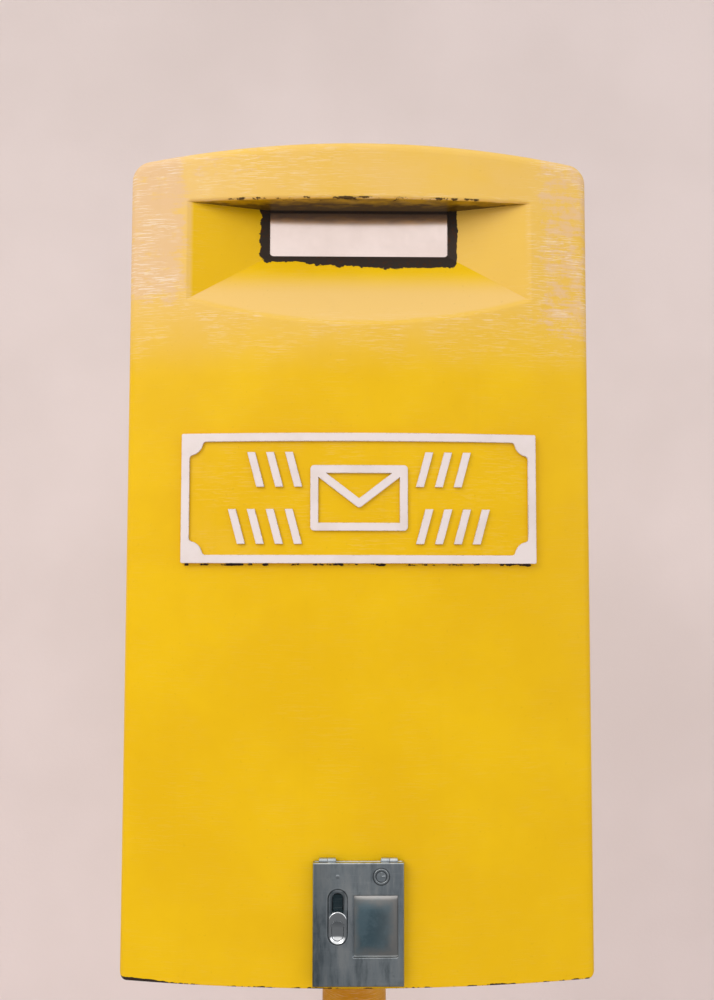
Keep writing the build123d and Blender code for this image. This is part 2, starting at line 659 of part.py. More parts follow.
def hinge_span(side, fixed):
    """Ends of one knuckle of a cover hinge: the fixed knuckle is the outer one."""
    middle = side * HINGE_SPREAD
    reach = side * COVER_KNUCKLE_LENGTH if fixed else -side * COVER_KNUCKLE_LENGTH
    gap = math.copysign(KNUCKLE_GAP / 2, reach)
    return sorted((middle + gap, middle + reach))


def lock_plate():
    """Plate riveted on the front, with the cover's fixed knuckles and the catch's keeper."""
    half = LOCK_PLATE_HALF
    plate = block(-half, half, LOCK_PLATE_Y, APEX_Y + 3, LOCK_PLATE_FOOT, LOCK_PLATE_TOP)
    for side in (-1, 1):
        x0, x1 = hinge_span(side, True)
        plate += block(x0, x1, LOCK_PLATE_Y, APEX_Y + 3, LOCK_PLATE_TOP - 1, COVER_AXIS_Z)
    plate -= Pos(0, BOW_CENTRE_Y, CASE_BOTTOM) * Cylinder(BOW_RADIUS, CASE_HEIGHT)
    for side in (-1, 1):
        x0, x1 = hinge_span(side, True)
        plate += rod_x(COVER_KNUCKLE_RADIUS, x0, x1, COVER_AXIS_Y, COVER_AXIS_Z)
    plate -= rod_x(COVER_PIN_RADIUS, -half, half, COVER_AXIS_Y, COVER_AXIS_Z)
    plate += keeper()
    for x, z in plate_rivet_places():
        plate -= rod_y(RIVET_RADIUS, LOCK_PLATE_Y - 1, APEX_Y + 4, x, z)
    return plate - rod_y(LOCK_BODY_RADIUS, LOCK_PLATE_Y - 1, APEX_Y + 4, LOCK_X, LOCK_Z)


def tongue_top():
    """Height of the catch's tongue when the catch is free."""
    return COVER_BOTTOM + THUMB_FOOT + THUMB_HEIGHT + TONGUE_REACH


def tongue_y():
    """Front of the tongue."""
    return COVER_BACK_Y + CATCH_GAP + TONGUE_STEP


def keeper():
    """Bridge on the lock plate that the tongue slides behind."""
    low = tongue_top() + KEEPER_GAP
    inner = TONGUE_WIDTH / 2 + CATCH_GAP * 2
    outer = inner + KEEPER_SHEET
    lip_back = tongue_y() - CATCH_GAP
    bridge = block(-outer, outer, lip_back - KEEPER_SHEET, LOCK_PLATE_Y, low, low + KEEPER_LIP)
    bridge -= block(-inner, inner, lip_back, LOCK_PLATE_Y + 1, low - 1, low + KEEPER_LIP + 1)
    return Pos(CATCH_X, 0, 0) * bridge


def cover_pins():
    """The two short pins of the cover's hinges."""
    return hold(
        [
            rod_x(
                COVER_PIN_RADIUS,
                min(hinge_span(side, True) + hinge_span(side, False)) - 0.4,
                max(hinge_span(side, True) + hinge_span(side, False)) + 0.4,
                COVER_AXIS_Y,
                COVER_AXIS_Z,
            )
            for side in (-1, 1)
        ]
    )


def plate_rivets():
    """Rivets through the lock plate and the front."""
    rivets = []
    for x, z in plate_rivet_places():
        grip = front_y(abs(x) + RIVET_HEAD_RADIUS, WALL) - LOCK_PLATE_Y
        rivets.append(Pos(x, LOCK_PLATE_Y, z) * Rot(90, 0, 0) * rivet(grip))
    return hold(rivets)


def lock_cover():
    """Folded steel cover with a window, the catch's long hole and a small raised clock mark."""
    half = COVER_WIDTH / 2
    rim_y = APEX_Y - COVER_SIDE_GAP
    cover = block(-half, half, COVER_FACE_Y, rim_y, COVER_BOTTOM, COVER_TOP)
    front_edges = cover.faces().sort_by(Axis.Y)[0].edges()
    cover = fillet(front_edges, COVER_SHEET * 0.8)
    inner = half - COVER_SHEET
    foot, top = COVER_BOTTOM + COVER_SHEET, COVER_TOP - COVER_SHEET
    cover -= block(-inner, inner, COVER_BACK_Y, rim_y + 1, foot, top)
    for side in (-1, 1):
        x0, x1 = hinge_span(side, True)
        notch_front = COVER_AXIS_Y - COVER_KNUCKLE_RADIUS - KNUCKLE_GAP
        cover -= block(
            x0 - KNUCKLE_GAP, x1 + KNUCKLE_GAP, notch_front, rim_y + 1, top - 1, COVER_TOP + 1
        )
        x0, x1 = hinge_span(side, False)
        cover += rod_x(COVER_KNUCKLE_RADIUS, x0, x1, COVER_AXIS_Y, COVER_AXIS_Z)
    cover -= rod_x(COVER_PIN_RADIUS + RUNNING_GAP, -half + COVER_SHEET, inner, COVER_AXIS_Y, COVER_AXIS_Z)
    middle = Pos((WINDOW_LEFT + WINDOW_RIGHT) / 2, COVER_BOTTOM + WINDOW_FOOT + WINDOW_HEIGHT / 2)
    window = middle * Rectangle(WINDOW_RIGHT - WINDOW_LEFT, WINDOW_HEIGHT)
    cover -= from_front(fillet(window.vertices(), WINDOW_CORNER), COVER_FACE_Y - 1, COVER_BACK_Y + 1)
    hole = upright_slot(CATCH_SLOT_WIDTH, CATCH_SLOT_FOOT, CATCH_SLOT_HEIGHT)
    cover -= from_front(hole, COVER_FACE_Y - 1, COVER_BACK_Y + 1)
    return cover + from_front(cover_mark(), COVER_FACE_Y - MARK_RELIEF, COVER_FACE_Y + MARK_RELIEF)


def upright_slot(width, foot, height):
    """Long round-ended shape over the catch's line, its foot measured from the cover's foot."""
    middle = COVER_BOTTOM + foot + height / 2
    return Pos(CATCH_X, middle) * Rot(0, 0, 90) * SlotOverall(height, width)


def cover_mark():
    """A plain clock face without figures, and a dot over the catch, drawn flat."""
    ring = Circle(MARK_RADIUS) - Circle(MARK_RADIUS - MARK_STROKE)
    ring += Pos(0, MARK_RADIUS / 4) * Rectangle(MARK_STROKE, MARK_RADIUS / 2 + MARK_STROKE)
    ring += Pos(MARK_RADIUS / 5, 0) * Rectangle(MARK_RADIUS / 2.5 + MARK_STROKE, MARK_STROKE)
    dot = Pos(CATCH_X, COVER_BOTTOM + MARK_HEIGHT) * Circle(MARK_STROKE)
    return Pos(MARK_X, COVER_BOTTOM + MARK_HEIGHT) * ring + dot


def tag_box(grow):
    """Corners of the tag as seen from the front, or of its space with a gap all round."""
    x0, x1 = WINDOW_LEFT + TAG_SHOW_GAP - grow, WINDOW_RIGHT + TAG_LAP + grow
    z0 = COVER_BOTTOM + WINDOW_FOOT - TAG_LAP - grow
    z1 = COVER_BOTTOM + WINDOW_FOOT + WINDOW_HEIGHT - TAG_SHOW_GAP + grow
    return x0, x1, z0, z1


def time_tag():
    """Blank steel tag with a bevelled face."""
    x0, x1, z0, z1 = tag_box(0)
    front = COVER_BACK_Y + TAG_RECESS
    tag = block(x0, x1, front, front + TAG_THICKNESS, z0, z1)
    return chamfer(tag.faces().sort_by(Axis.Y)[0].edges(), TAG_EDGE)


def tag_holder():
    """Shallow channel behind the window, open at its top, that the tag drops into."""
    x0, x1, z0, z1 = tag_box(CATCH_GAP / 3)
    back = COVER_BACK_Y + TAG_RECESS + TAG_THICKNESS + CATCH_GAP / 3
    left, right = WINDOW_LEFT - HOLDER_LAP, WINDOW_RIGHT + HOLDER_LAP
    foot = COVER_BOTTOM + WINDOW_FOOT - HOLDER_LAP
    top = COVER_BOTTOM + WINDOW_FOOT + WINDOW_HEIGHT + HOLDER_LAP
    holder = block(left, right, COVER_BACK_Y, back + HOLDER_SHEET, foot, top)
    holder -= block(x0, x1, COVER_BACK_Y - 1, back, z0, top + 1)
    return holder - block(WINDOW_LEFT, WINDOW_RIGHT, COVER_BACK_Y - 1, back, z0 + TAG_LAP, top + 1)


# ---------------------------------------------------------------- the catch


def thumb_slide():
    """Polished thumb piece with a scoop, and its neck through the cover."""
    front = COVER_FACE_Y - THUMB_PROUD
    thumb = from_front(upright_slot(THUMB_WIDTH, THUMB_FOOT, THUMB_HEIGHT), front, COVER_FACE_Y - CATCH_GAP)
    rim = thumb.faces().sort_by(Axis.Y)[0].edges()
    thumb = fillet(rim, (THUMB_PROUD - CATCH_GAP) * 0.6)
    neck_foot = CATCH_SLOT_FOOT + CATCH_GAP
    neck_top = THUMB_FOOT + THUMB_HEIGHT - (neck_foot - THUMB_FOOT)
    neck = upright_slot(CATCH_SLOT_WIDTH - CATCH_GAP * 2, neck_foot, neck_top - neck_foot)
    thumb += from_front(neck, COVER_FACE_Y - CATCH_GAP - 0.2, COVER_BACK_Y + CATCH_GAP)
    middle = COVER_BOTTOM + THUMB_FOOT + THUMB_WIDTH / 2 + SCOOP_LENGTH / 2
    scoop = Cylinder(SCOOP_RADIUS, SCOOP_LENGTH)
    for step in (-1, 1):
        scoop += Pos(0, 0, step * SCOOP_LENGTH / 2) * Sphere(SCOOP_RADIUS)
    return thumb - Pos(CATCH_X, front + SCOOP_DEPTH - SCOOP_RADIUS, middle) * scoop


def catch_plate():
    """Plate behind the cover, bent back into the tongue."""
    half = CATCH_PLATE_WIDTH / 2
    front = COVER_BACK_Y + CATCH_GAP
    low = COVER_BOTTOM + THUMB_FOOT
    top = low + THUMB_HEIGHT
    plate = block(-half, half, front, front + CATCH_SHEET, low, top)
    half = TONGUE_WIDTH / 2
    plate += block(-half, half, front, tongue_y() + CATCH_SHEET, top - CATCH_SHEET, top)
    plate += block(-half, half, tongue_y(), tongue_y() + CATCH_SHEET, top - CATCH_SHEET, tongue_top())
    return Pos(CATCH_X, 0, 0) * plate


# ---------------------------------------------------------------- the cam lock


def lock_body():
    """Barrel of the lock with its bezel on the lock plate."""
    front = LOCK_PLATE_Y - LOCK_BEZEL
    bezel = rod_y(LOCK_BEZEL_RADIUS, front, LOCK_PLATE_Y, LOCK_X, LOCK_Z)
    bezel = fillet(bezel.edges().group_by(Axis.Y)[0], LOCK_BEZEL / 2)
    body = bezel + rod_y(LOCK_BODY_RADIUS, LOCK_PLATE_Y, LOCK_END_Y, LOCK_X, LOCK_Z)
    return body - rod_y(PLUG_RADIUS + RUNNING_GAP, front - 1, LOCK_END_Y + 1, LOCK_X, LOCK_Z)


def lock_nut():
    """Flat nut that clamps the lock to the front."""
    seat = front_y(LOCK_X + LOCK_NUT_RADIUS, WALL)
    return nut_y(LOCK_NUT_RADIUS, LOCK_BODY_RADIUS, seat, seat + LOCK_NUT_THICKNESS, LOCK_X, LOCK_Z)


def lock_plug():
    """Turning part of the lock, with a keyway in front and a square behind."""
    front = LOCK_PLATE_Y - LOCK_BEZEL + PLUG_SET
    plug = rod_y(PLUG_RADIUS, front, CAM_Y, LOCK_X, LOCK_Z)
    square = Pos(LOCK_X, LOCK_Z) * Rectangle(PLUG_SQUARE, PLUG_SQUARE)
    plug += from_front(square, CAM_Y, CAM_Y + CAM_THICKNESS)
    wide, high = KEYWAY_WIDTH / 2, KEYWAY_HEIGHT / 2
    plug -= block(LOCK_X - wide, LOCK_X + wide, front - 1, front + KEYWAY_DEPTH, LOCK_Z - high, LOCK_Z + high)
    return plug - rod_y(RIVET_RADIUS, CAM_Y - 8, CAM_Y + CAM_THICKNESS + 1, LOCK_X, LOCK_Z)


def lock_cam():
    """Flat cam on the plug's square, hanging straight down while unlocked."""
    half = CAM_WIDTH / 2
    cam = Pos(0, -CAM_REACH / 2 + half / 2) * Rectangle(CAM_WIDTH, CAM_REACH - half) + Circle(half)
    cam += Pos(0, half - CAM_REACH) * Circle(half)
    cam -= Rectangle(PLUG_SQUARE, PLUG_SQUARE)
    return from_front(Pos(LOCK_X, LOCK_Z) * cam, CAM_Y, CAM_Y + CAM_THICKNESS)


def cam_screw():
    """Screw that holds the cam on the plug."""
    seat = CAM_Y + CAM_THICKNESS
    head = rod_y(SCREW_HEAD_RADIUS, seat, seat + SCREW_HEAD_HEIGHT / 2, LOCK_X, LOCK_Z)
    head += hexagon_y(SCREW_HEAD_RADIUS * 0.8, seat, seat + SCREW_HEAD_HEIGHT, LOCK_X, LOCK_Z)
    return head + rod_y(RIVET_RADIUS, CAM_Y - 7, seat, LOCK_X, LOCK_Z)


# ---------------------------------------------------------------- the floor door


def door_plan(inset, rear):
    """The door's plan: the bowed front, the sides and a straight rear edge."""
    half = HALF_WIDTH - inset
    bow = ThreePointArc((-half, front_y(half, inset)), (0, APEX_Y + inset), (half, front_y(half, inset)))
    sides = Polyline((half, front_y(half, inset)), (half, rear), (-half, rear), (-half, front_y(half, inset)))
    face = make_face([bow, sides])
    return fillet(face.vertices().sort_by(Axis.Y)[:2], FRONT_EDGE - inset)


def floor_door():
    """Door pan that closes the case's foot, with a rim round its front and sides."""
    edge = WALL + DOOR_GAP
    pan = extrude(door_plan(edge, DOOR_REAR_Y), amount=DOOR_RIM)
    hollow = extrude(door_plan(edge + DOOR_SHEET, DOOR_REAR_Y + 5), amount=DOOR_RIM)
    pan = Pos(0, 0, DOOR_BOTTOM) * pan - Pos(0, 0, DOOR_TOP) * hollow
    for x in door_rivet_places():
        pan -= rod_z(RIVET_RADIUS, DOOR_BOTTOM - 1, DOOR_TOP + 1, x, door_rivet_y())
    for y in strike_rivet_ys():
        pan -= rod_z(RIVET_RADIUS, DOOR_BOTTOM - 1, DOOR_TOP + 1, strike_rivet_x(), y)
    return pan


def knuckle_spans(first):
    """Ends of every second knuckle of the door's hinge, counted from first."""
    start = -DOOR_KNUCKLES * DOOR_KNUCKLE_LENGTH / 2
    for number in range(first, DOOR_KNUCKLES, 2):
        x0 = start + number * DOOR_KNUCKLE_LENGTH
        yield x0 + KNUCKLE_GAP / 2, x0 + DOOR_KNUCKLE_LENGTH - KNUCKLE_GAP / 2


def hinge_half():
    """Half the length of the door's hinge."""
    return DOOR_KNUCKLES * DOOR_KNUCKLE_LENGTH / 2


def leaf_rivet_z():
    """Height of the rivets through the fixed leaf."""
    return DOOR_AXIS_Z + DOOR_LEAF_REACH * LEAF_RIVET_LINE


def door_rivet_y():
    """Line of the rivets through the moving leaf."""
    return DOOR_AXIS_Y - DOOR_LEAF_REACH * LEAF_RIVET_LINE


def leaf_rivet_places():
    """Where the fixed leaf is riveted, along the hinge."""
    return [(x0 + x1) / 2 for x0, x1 in knuckle_spans(0)]


def door_rivet_places():
    """Where the moving leaf is riveted, along the hinge."""
    return [(x0 + x1) / 2 for x0, x1 in knuckle_spans(1)]


def case_leaf():
    """Fixed leaf of the door's hinge, on the inside of the back."""
    clear = DOOR_KNUCKLE_RADIUS + KNUCKLE_GAP
    front = BACK_INNER_Y - DOOR_LEAF
    low, high = DOOR_AXIS_Z + clear, DOOR_AXIS_Z + DOOR_LEAF_REACH
    leaf = block(-hinge_half(), hinge_half(), front, BACK_INNER_Y, low, high)
    for x0, x1 in knuckle_spans(0):
        leaf += block(x0, x1, front, BACK_INNER_Y, DOOR_AXIS_Z, DOOR_AXIS_Z + clear)
        leaf += rod_x(DOOR_KNUCKLE_RADIUS, x0, x1, DOOR_AXIS_Y, DOOR_AXIS_Z)
    for x in leaf_rivet_places():
        leaf -= rod_y(RIVET_RADIUS, front - 1, BACK_INNER_Y + 1, x, leaf_rivet_z())
    return leaf - rod_x(DOOR_PIN_RADIUS, -hinge_half() - 1, hinge_half() + 1, DOOR_AXIS_Y, DOOR_AXIS_Z)


def door_leaf():
    """Moving leaf of the door's hinge, under the door."""
    clear = DOOR_KNUCKLE_RADIUS + KNUCKLE_GAP
    low = DOOR_BOTTOM - DOOR_LEAF
    far = DOOR_AXIS_Y - DOOR_LEAF_REACH
    leaf = block(-hinge_half(), hinge_half(), far, DOOR_AXIS_Y - clear, low, DOOR_BOTTOM)
    for x0, x1 in knuckle_spans(1):
        leaf += block(x0, x1, DOOR_AXIS_Y - clear, DOOR_AXIS_Y, low, DOOR_BOTTOM)
        leaf += rod_x(DOOR_KNUCKLE_RADIUS, x0, x1, DOOR_AXIS_Y, DOOR_AXIS_Z)
    for x in door_rivet_places():
        leaf -= rod_z(RIVET_RADIUS, low - 1, DOOR_BOTTOM + 1, x, door_rivet_y())
    return leaf - rod_x(
        DOOR_PIN_RADIUS + RUNNING_GAP, -hinge_half() - 1, hinge_half() + 1, DOOR_AXIS_Y, DOOR_AXIS_Z
    )


def door_pin():
    """Long pin of the door's hinge, with a head at each end."""
    half = hinge_half()
    pin = rod_x(DOOR_PIN_RADIUS, -half, half, DOOR_AXIS_Y, DOOR_AXIS_Z)
    for x0, x1 in ((-half - 2, -half), (half, half + 2)):
        pin += rod_x(DOOR_PIN_RADIUS * 1.5, x0, x1, DOOR_AXIS_Y, DOOR_AXIS_Z)
    return pin


def leaf_rivets():
    """Rivets through the back and the fixed leaf, heads outside."""
    z = leaf_rivet_z()
    grip = WALL + DOOR_LEAF
    return hold([Pos(x, BACK_Y, z) * Rot(-90, 0, 0) * rivet(grip) for x in leaf_rivet_places()])


def door_rivets():
    """Rivets through the moving leaf and the door, heads underneath."""
    y = door_rivet_y()
    low = DOOR_BOTTOM - DOOR_LEAF
    grip = DOOR_SHEET + DOOR_LEAF
    return hold([Pos(x, y, low) * Rot(180, 0, 0) * rivet(grip) for x in door_rivet_places()])


def strike_post_x():
    """Near face of the strike's upright."""
    return LOCK_X + CAM_REACH + STRIKE_SIDE_GAP


def strike_rivet_x():
    """Where the strike's foot is riveted."""
    return strike_post_x() + STRIKE_SHEET + STRIKE_FOOT / 2


def strike_rivet_ys():
    """The two rivets of the strike's foot."""
    return [CAM_Y + place for place in STRIKE_RIVETS]


def strike():
    """Bent bracket on the door, whose ledge rests over the cam when the lock is turned."""
    near, far = CAM_Y - STRIKE_FRONT, CAM_Y + STRIKE_BACK
    upright = CAM_Y + CAM_THICKNESS + UPRIGHT_BACK
    post = strike_post_x()
    outer = post + STRIKE_SHEET
    ledge = LOCK_Z + CAM_WIDTH / 2 + STRIKE_GAP
    solid = block(post, outer + STRIKE_FOOT, near, far, DOOR_TOP, DOOR_TOP + STRIKE_SHEET)
    solid += block(post, outer, near, upright, DOOR_TOP, ledge + STRIKE_SHEET)
    solid += block(outer - STRIKE_LEDGE, outer, near, upright, ledge, ledge + STRIKE_SHEET)
    for y in strike_rivet_ys():
        solid -= rod_z(RIVET_RADIUS, DOOR_TOP - 1, DOOR_TOP + STRIKE_SHEET + 1, strike_rivet_x(), y)
    return solid


def strike_rivets():
    """Rivets through the door and the strike's foot."""
    grip = DOOR_SHEET + STRIKE_SHEET
    x = strike_rivet_x()
    return hold([Pos(x, y, DOOR_BOTTOM) * Rot(180, 0, 0) * rivet(grip) for y in strike_rivet_ys()])


# ---------------------------------------------------------------- the post and the clamps


def ubolt_leg():
    """Distance of a U-bolt's legs from the middle."""
    return POST_RADIUS + UBOLT_RADIUS + UBOLT_HOLE_GAP / 2


def post_tube():
    """Round steel post."""
    tube = rod_z(POST_RADIUS, BASE_THICKNESS, POST_TOP, 0, 0)
    return tube - rod_z(POST_RADIUS - POST_WALL, BASE_THICKNESS - 1, POST_TOP + 1, 0, 0)


def post_cap():
    """Domed cap that plugs the top of the post."""
    cap = rod_z(POST_RADIUS, POST_TOP, POST_TOP + POST_CAP, 0, 0)
    cap = fillet(cap.edges().group_by(Axis.Z)[-1], POST_CAP * 0.8)
    return cap + rod_z(POST_RADIUS - POST_WALL - 0.2, POST_TOP - POST_CAP * 2, POST_TOP, 0, 0)


def base_plate():
    """Square foot plate with four anchor holes."""
    plate = Pos(0, 0, BASE_THICKNESS / 2) * Box(BASE_SIZE, BASE_SIZE, BASE_THICKNESS)
    plate = fillet(plate.edges().filter_by(Axis.Z), BASE_CORNER)
    for sx in (-1, 1):
        for sy in (-1, 1):
            x, y = sx * ANCHOR_SPACING / 2, sy * ANCHOR_SPACING / 2
            plate -= rod_z(ANCHOR_RADIUS, -1, BASE_THICKNESS + 1, x, y)
    return plate


def base_gussets():
    """Four upright stiffeners between the post and its foot."""
    foot, top = BASE_THICKNESS, BASE_THICKNESS + GUSSET_RISE
    near, far = POST_RADIUS - 1, POST_RADIUS + GUSSET_RUN
    face = make_face(Polyline((near, foot), (far, foot), (far, foot + GUSSET_NOSE), (near, top), close=True))
    gusset = from_front(face, -GUSSET_THICKNESS / 2, GUSSET_THICKNESS / 2)
    gusset -= rod_z(POST_RADIUS, foot - 1, top + 1, 0, 0)
    return hold([Rot(0, 0, turn) * gusset for turn in (0, 90, 180, 270)])


def saddle(level):
    """Block between the case and the post, hollowed to fit the post."""
    half, z = SADDLE_WIDTH / 2, CASE_BOTTOM + level
    low, high = z - SADDLE_HEIGHT / 2, z + SADDLE_HEIGHT / 2
    solid = block(-half, half, BACK_Y, SADDLE_WRAP - POST_RADIUS, low, high)
    solid = chamfer(solid.edges().filter_by(Axis.Z).sort_by(Axis.Y)[-2:], SADDLE_WRAP * 0.6)
    solid -= rod_z(POST_RADIUS, z - SADDLE_HEIGHT, z + SADDLE_HEIGHT, 0, 0)
    for side in (-1, 1):
        solid -= rod_y(UBOLT_RADIUS + UBOLT_HOLE_GAP, BACK_Y - 1, 0, side * ubolt_leg(), z)
    return solid


def upper_saddle():
    """Saddle near the top of the case."""
    return saddle(UPPER_CLAMP)


def lower_saddle():
    """Saddle near the foot of the case."""
    return saddle(LOWER_CLAMP)


def backing_front():
    """Front of the backing plates inside the case."""
    return BACK_INNER_Y - BACKING_THICKNESS


def ubolt(level):
    """U-bolt round the back of the post, its legs through the saddle and the case."""
    z = CASE_BOTTOM + level
    end = backing_front() - WASHER_THICKNESS - CLAMP_NUT_HEIGHT - THREAD_END
    reach = POST_DIAMETER
    bend = Torus(ubolt_leg(), UBOLT_RADIUS) & block(-reach, reach, 0, reach, -reach, reach)
    bolt = Pos(0, 0, z) * bend
    for side in (-1, 1):
        bolt += rod_y(UBOLT_RADIUS, end, 0, side * ubolt_leg(), z)
    return bolt


def upper_ubolt():
    """U-bolt near the top of the case."""
    return ubolt(UPPER_CLAMP)


def lower_ubolt():
    """U-bolt near the foot of the case."""
    return ubolt(LOWER_CLAMP)


def clamp_places():
    """The four legs of the U-bolts, as seen from the front."""
    levels = (LOWER_CLAMP, UPPER_CLAMP)
    return [(side * ubolt_leg(), CASE_BOTTOM + level) for level in levels for side in (-1, 1)]


def backing_plates():
    """Plates inside the case that spread the clamps' load."""
    plates = []
    for level in (LOWER_CLAMP, UPPER_CLAMP):
        z = CASE_BOTTOM + level
        half, rise = BACKING_WIDTH / 2, SADDLE_HEIGHT / 2
        plate = block(-half, half, backing_front(), BACK_INNER_Y, z - rise, z + rise)
        for side in (-1, 1):
            hole = UBOLT_RADIUS + UBOLT_HOLE_GAP
            plate -= rod_y(hole, backing_front() - 1, BACK_INNER_Y + 1, side * ubolt_leg(), z)
        plates.append(plate)
    return hold(plates)


def clamp_washers():
    """Washers under the clamps' nuts."""
    back = backing_front()
    bore = UBOLT_RADIUS + UBOLT_HOLE_GAP
    return hold(
        [
            rod_y(WASHER_RADIUS, back - WASHER_THICKNESS, back, x, z)
            - rod_y(bore, back - WASHER_THICKNESS - 1, back + 1, x, z)
            for x, z in clamp_places()
        ]
    )


def clamp_nuts():
    """Nuts on the U-bolts."""
    back = backing_front() - WASHER_THICKNESS
    return hold(
        [
            nut_y(CLAMP_NUT_RADIUS, UBOLT_RADIUS, back - CLAMP_NUT_HEIGHT, back, x, z)
            for x, z in clamp_places()
        ]
    )


PIECES = (
    base_plate, base_gussets, post_tube, post_cap, upper_saddle, lower_saddle, upper_ubolt, lower_ubolt,
    backing_plates, clamp_washers, clamp_nuts, rear_case, case_seal, front_shell, case_screws, case_nuts,
    flap_brackets, flap_pin, bracket_rivets, slot_flap, baffle_plate, sign_plate, sign_frame, sign_emblem,
    sign_nuts, lock_plate, cover_pins, plate_rivets, lock_cover, tag_holder, time_tag, thumb_slide,
    catch_plate, lock_body, lock_nut, lock_plug, lock_cam, cam_screw, case_leaf, door_pin, leaf_rivets,
    floor_door, door_leaf, door_rivets, strike, strike_rivets,
)  # fmt: skip

os.makedirs("parts", exist_ok=True)
for piece in PIECES:
    export_step(piece(), "parts/" + piece.__name__ + ".step")
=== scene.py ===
"""Finishes, stage, light and camera for a yellow post box with a bowed front on a round post."""

import json
import logging
import math
from dataclasses import dataclass, field
from enum import Enum
from typing import Any, Iterable, Sequence

import bmesh
import bpy
from mathutils import Matrix, Vector

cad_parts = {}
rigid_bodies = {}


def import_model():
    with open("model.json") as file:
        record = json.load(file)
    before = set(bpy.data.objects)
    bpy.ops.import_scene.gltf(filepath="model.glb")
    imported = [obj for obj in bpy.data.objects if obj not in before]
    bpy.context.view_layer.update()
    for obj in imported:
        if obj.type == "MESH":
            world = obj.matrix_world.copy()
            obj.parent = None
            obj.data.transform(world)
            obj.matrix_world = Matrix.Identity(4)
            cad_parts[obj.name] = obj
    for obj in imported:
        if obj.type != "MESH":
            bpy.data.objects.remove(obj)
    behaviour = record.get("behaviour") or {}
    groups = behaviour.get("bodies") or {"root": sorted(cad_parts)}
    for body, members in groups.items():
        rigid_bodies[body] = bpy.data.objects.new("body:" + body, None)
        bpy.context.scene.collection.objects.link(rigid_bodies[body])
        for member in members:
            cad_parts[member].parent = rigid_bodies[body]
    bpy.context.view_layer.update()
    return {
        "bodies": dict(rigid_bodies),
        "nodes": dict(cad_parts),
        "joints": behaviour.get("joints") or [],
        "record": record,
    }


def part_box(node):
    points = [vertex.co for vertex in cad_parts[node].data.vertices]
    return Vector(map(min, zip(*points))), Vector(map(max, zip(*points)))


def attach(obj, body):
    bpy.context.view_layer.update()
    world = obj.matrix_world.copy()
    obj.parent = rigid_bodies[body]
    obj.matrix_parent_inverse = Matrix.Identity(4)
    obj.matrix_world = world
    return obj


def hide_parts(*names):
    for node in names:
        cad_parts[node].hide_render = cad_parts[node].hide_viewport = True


log = logging.getLogger("post_box")

Number = float | int
Colour = tuple[float, float, float]


def linear(code: str) -> Colour:
    """Turns a hexadecimal display colour into linear light.

    Args:
        code: Six hexadecimal digits, two for each of red, green and blue.

    Returns:
        The three linear values.
    """
    shares = [int(code[place : place + 2], 16) / 255 for place in (0, 2, 4)]
    red, green, blue = [
        share / 12.92 if share <= 0.04045 else ((share + 0.055) / 1.055) ** 2.4 for share in shares
    ]
    return red, green, blue


# ---------------------------------------------------------------- shader expressions


class Wire:
    """A socket of a shader tree that can be used in arithmetic."""

    def __init__(self, tree: "Shader", socket: bpy.types.NodeSocket) -> None:
        """Keeps the tree and the output socket."""
        self.tree = tree
        self.socket = socket

    def _math(self, operation: str, *values: "Wire | Number") -> "Wire":
        """Adds a Math node on these values."""
        inputs = dict(enumerate(values))
        return self.tree.node("ShaderNodeMath", {"operation": operation}, inputs).out()

    def __add__(self, other: "Wire | Number") -> "Wire":
        """Sum."""
        return self._math("ADD", self, other)

    def __radd__(self, other: "Wire | Number") -> "Wire":
        """Sum with a number in front."""
        return self._math("ADD", other, self)

    def __sub__(self, other: "Wire | Number") -> "Wire":
        """Difference."""
        return self._math("SUBTRACT", self, other)

    def __rsub__(self, other: "Wire | Number") -> "Wire":
        """Difference from a number in front."""
        return self._math("SUBTRACT", other, self)

    def __mul__(self, other: "Wire | Number") -> "Wire":
        """Product."""
        return self._math("MULTIPLY", self, other)

    def __rmul__(self, other: "Wire | Number") -> "Wire":
        """Product with a number in front."""
        return self._math("MULTIPLY", other, self)

    def __truediv__(self, other: "Wire | Number") -> "Wire":
        """Quotient."""
        return self._math("DIVIDE", self, other)

    def __abs__(self) -> "Wire":
        """Size without the sign."""
        return self._math("ABSOLUTE", self)

    def over(self, other: "Wire | Number") -> "Wire":
        """The larger of the two."""
        return self._math("MAXIMUM", self, other)

    def under(self, other: "Wire | Number") -> "Wire":
        """The smaller of the two."""
        return self._math("MINIMUM", self, other)

    def power(self, other: Number) -> "Wire":
        """This value to a power."""
        return self._math("POWER", self, other)

    def ramp(self, low: Number, high: Number) -> "Wire":
        """A smooth step from 0 at low to 1 at high, or down again when high is the smaller.

        Args:
            low: Value at which the result is 0.
            high: Value at which the result is 1.

        Returns:
            The step, held between 0 and 1.
        """
        inputs = {0: self, 1: low, 2: high, 3: 0.0, 4: 1.0}
        settings = {"interpolation_type": "SMOOTHSTEP", "clamp": True}
        return self.tree.node("ShaderNodeMapRange", settings, inputs).out()


class Node:
    """A node that was just added, with short ways to its outputs."""

    def __init__(self, tree: "Shader", node: bpy.types.Node) -> None:
        """Keeps the tree and the node."""
        self.tree = tree
        self.node = node

    def out(self, name: str | int | None = None) -> Wire:
        """The named output, or the first one that is enabled."""
        if name is None:
            return Wire(self.tree, next(socket for socket in self.node.outputs if socket.enabled))
        return Wire(self.tree, self.node.outputs[name])


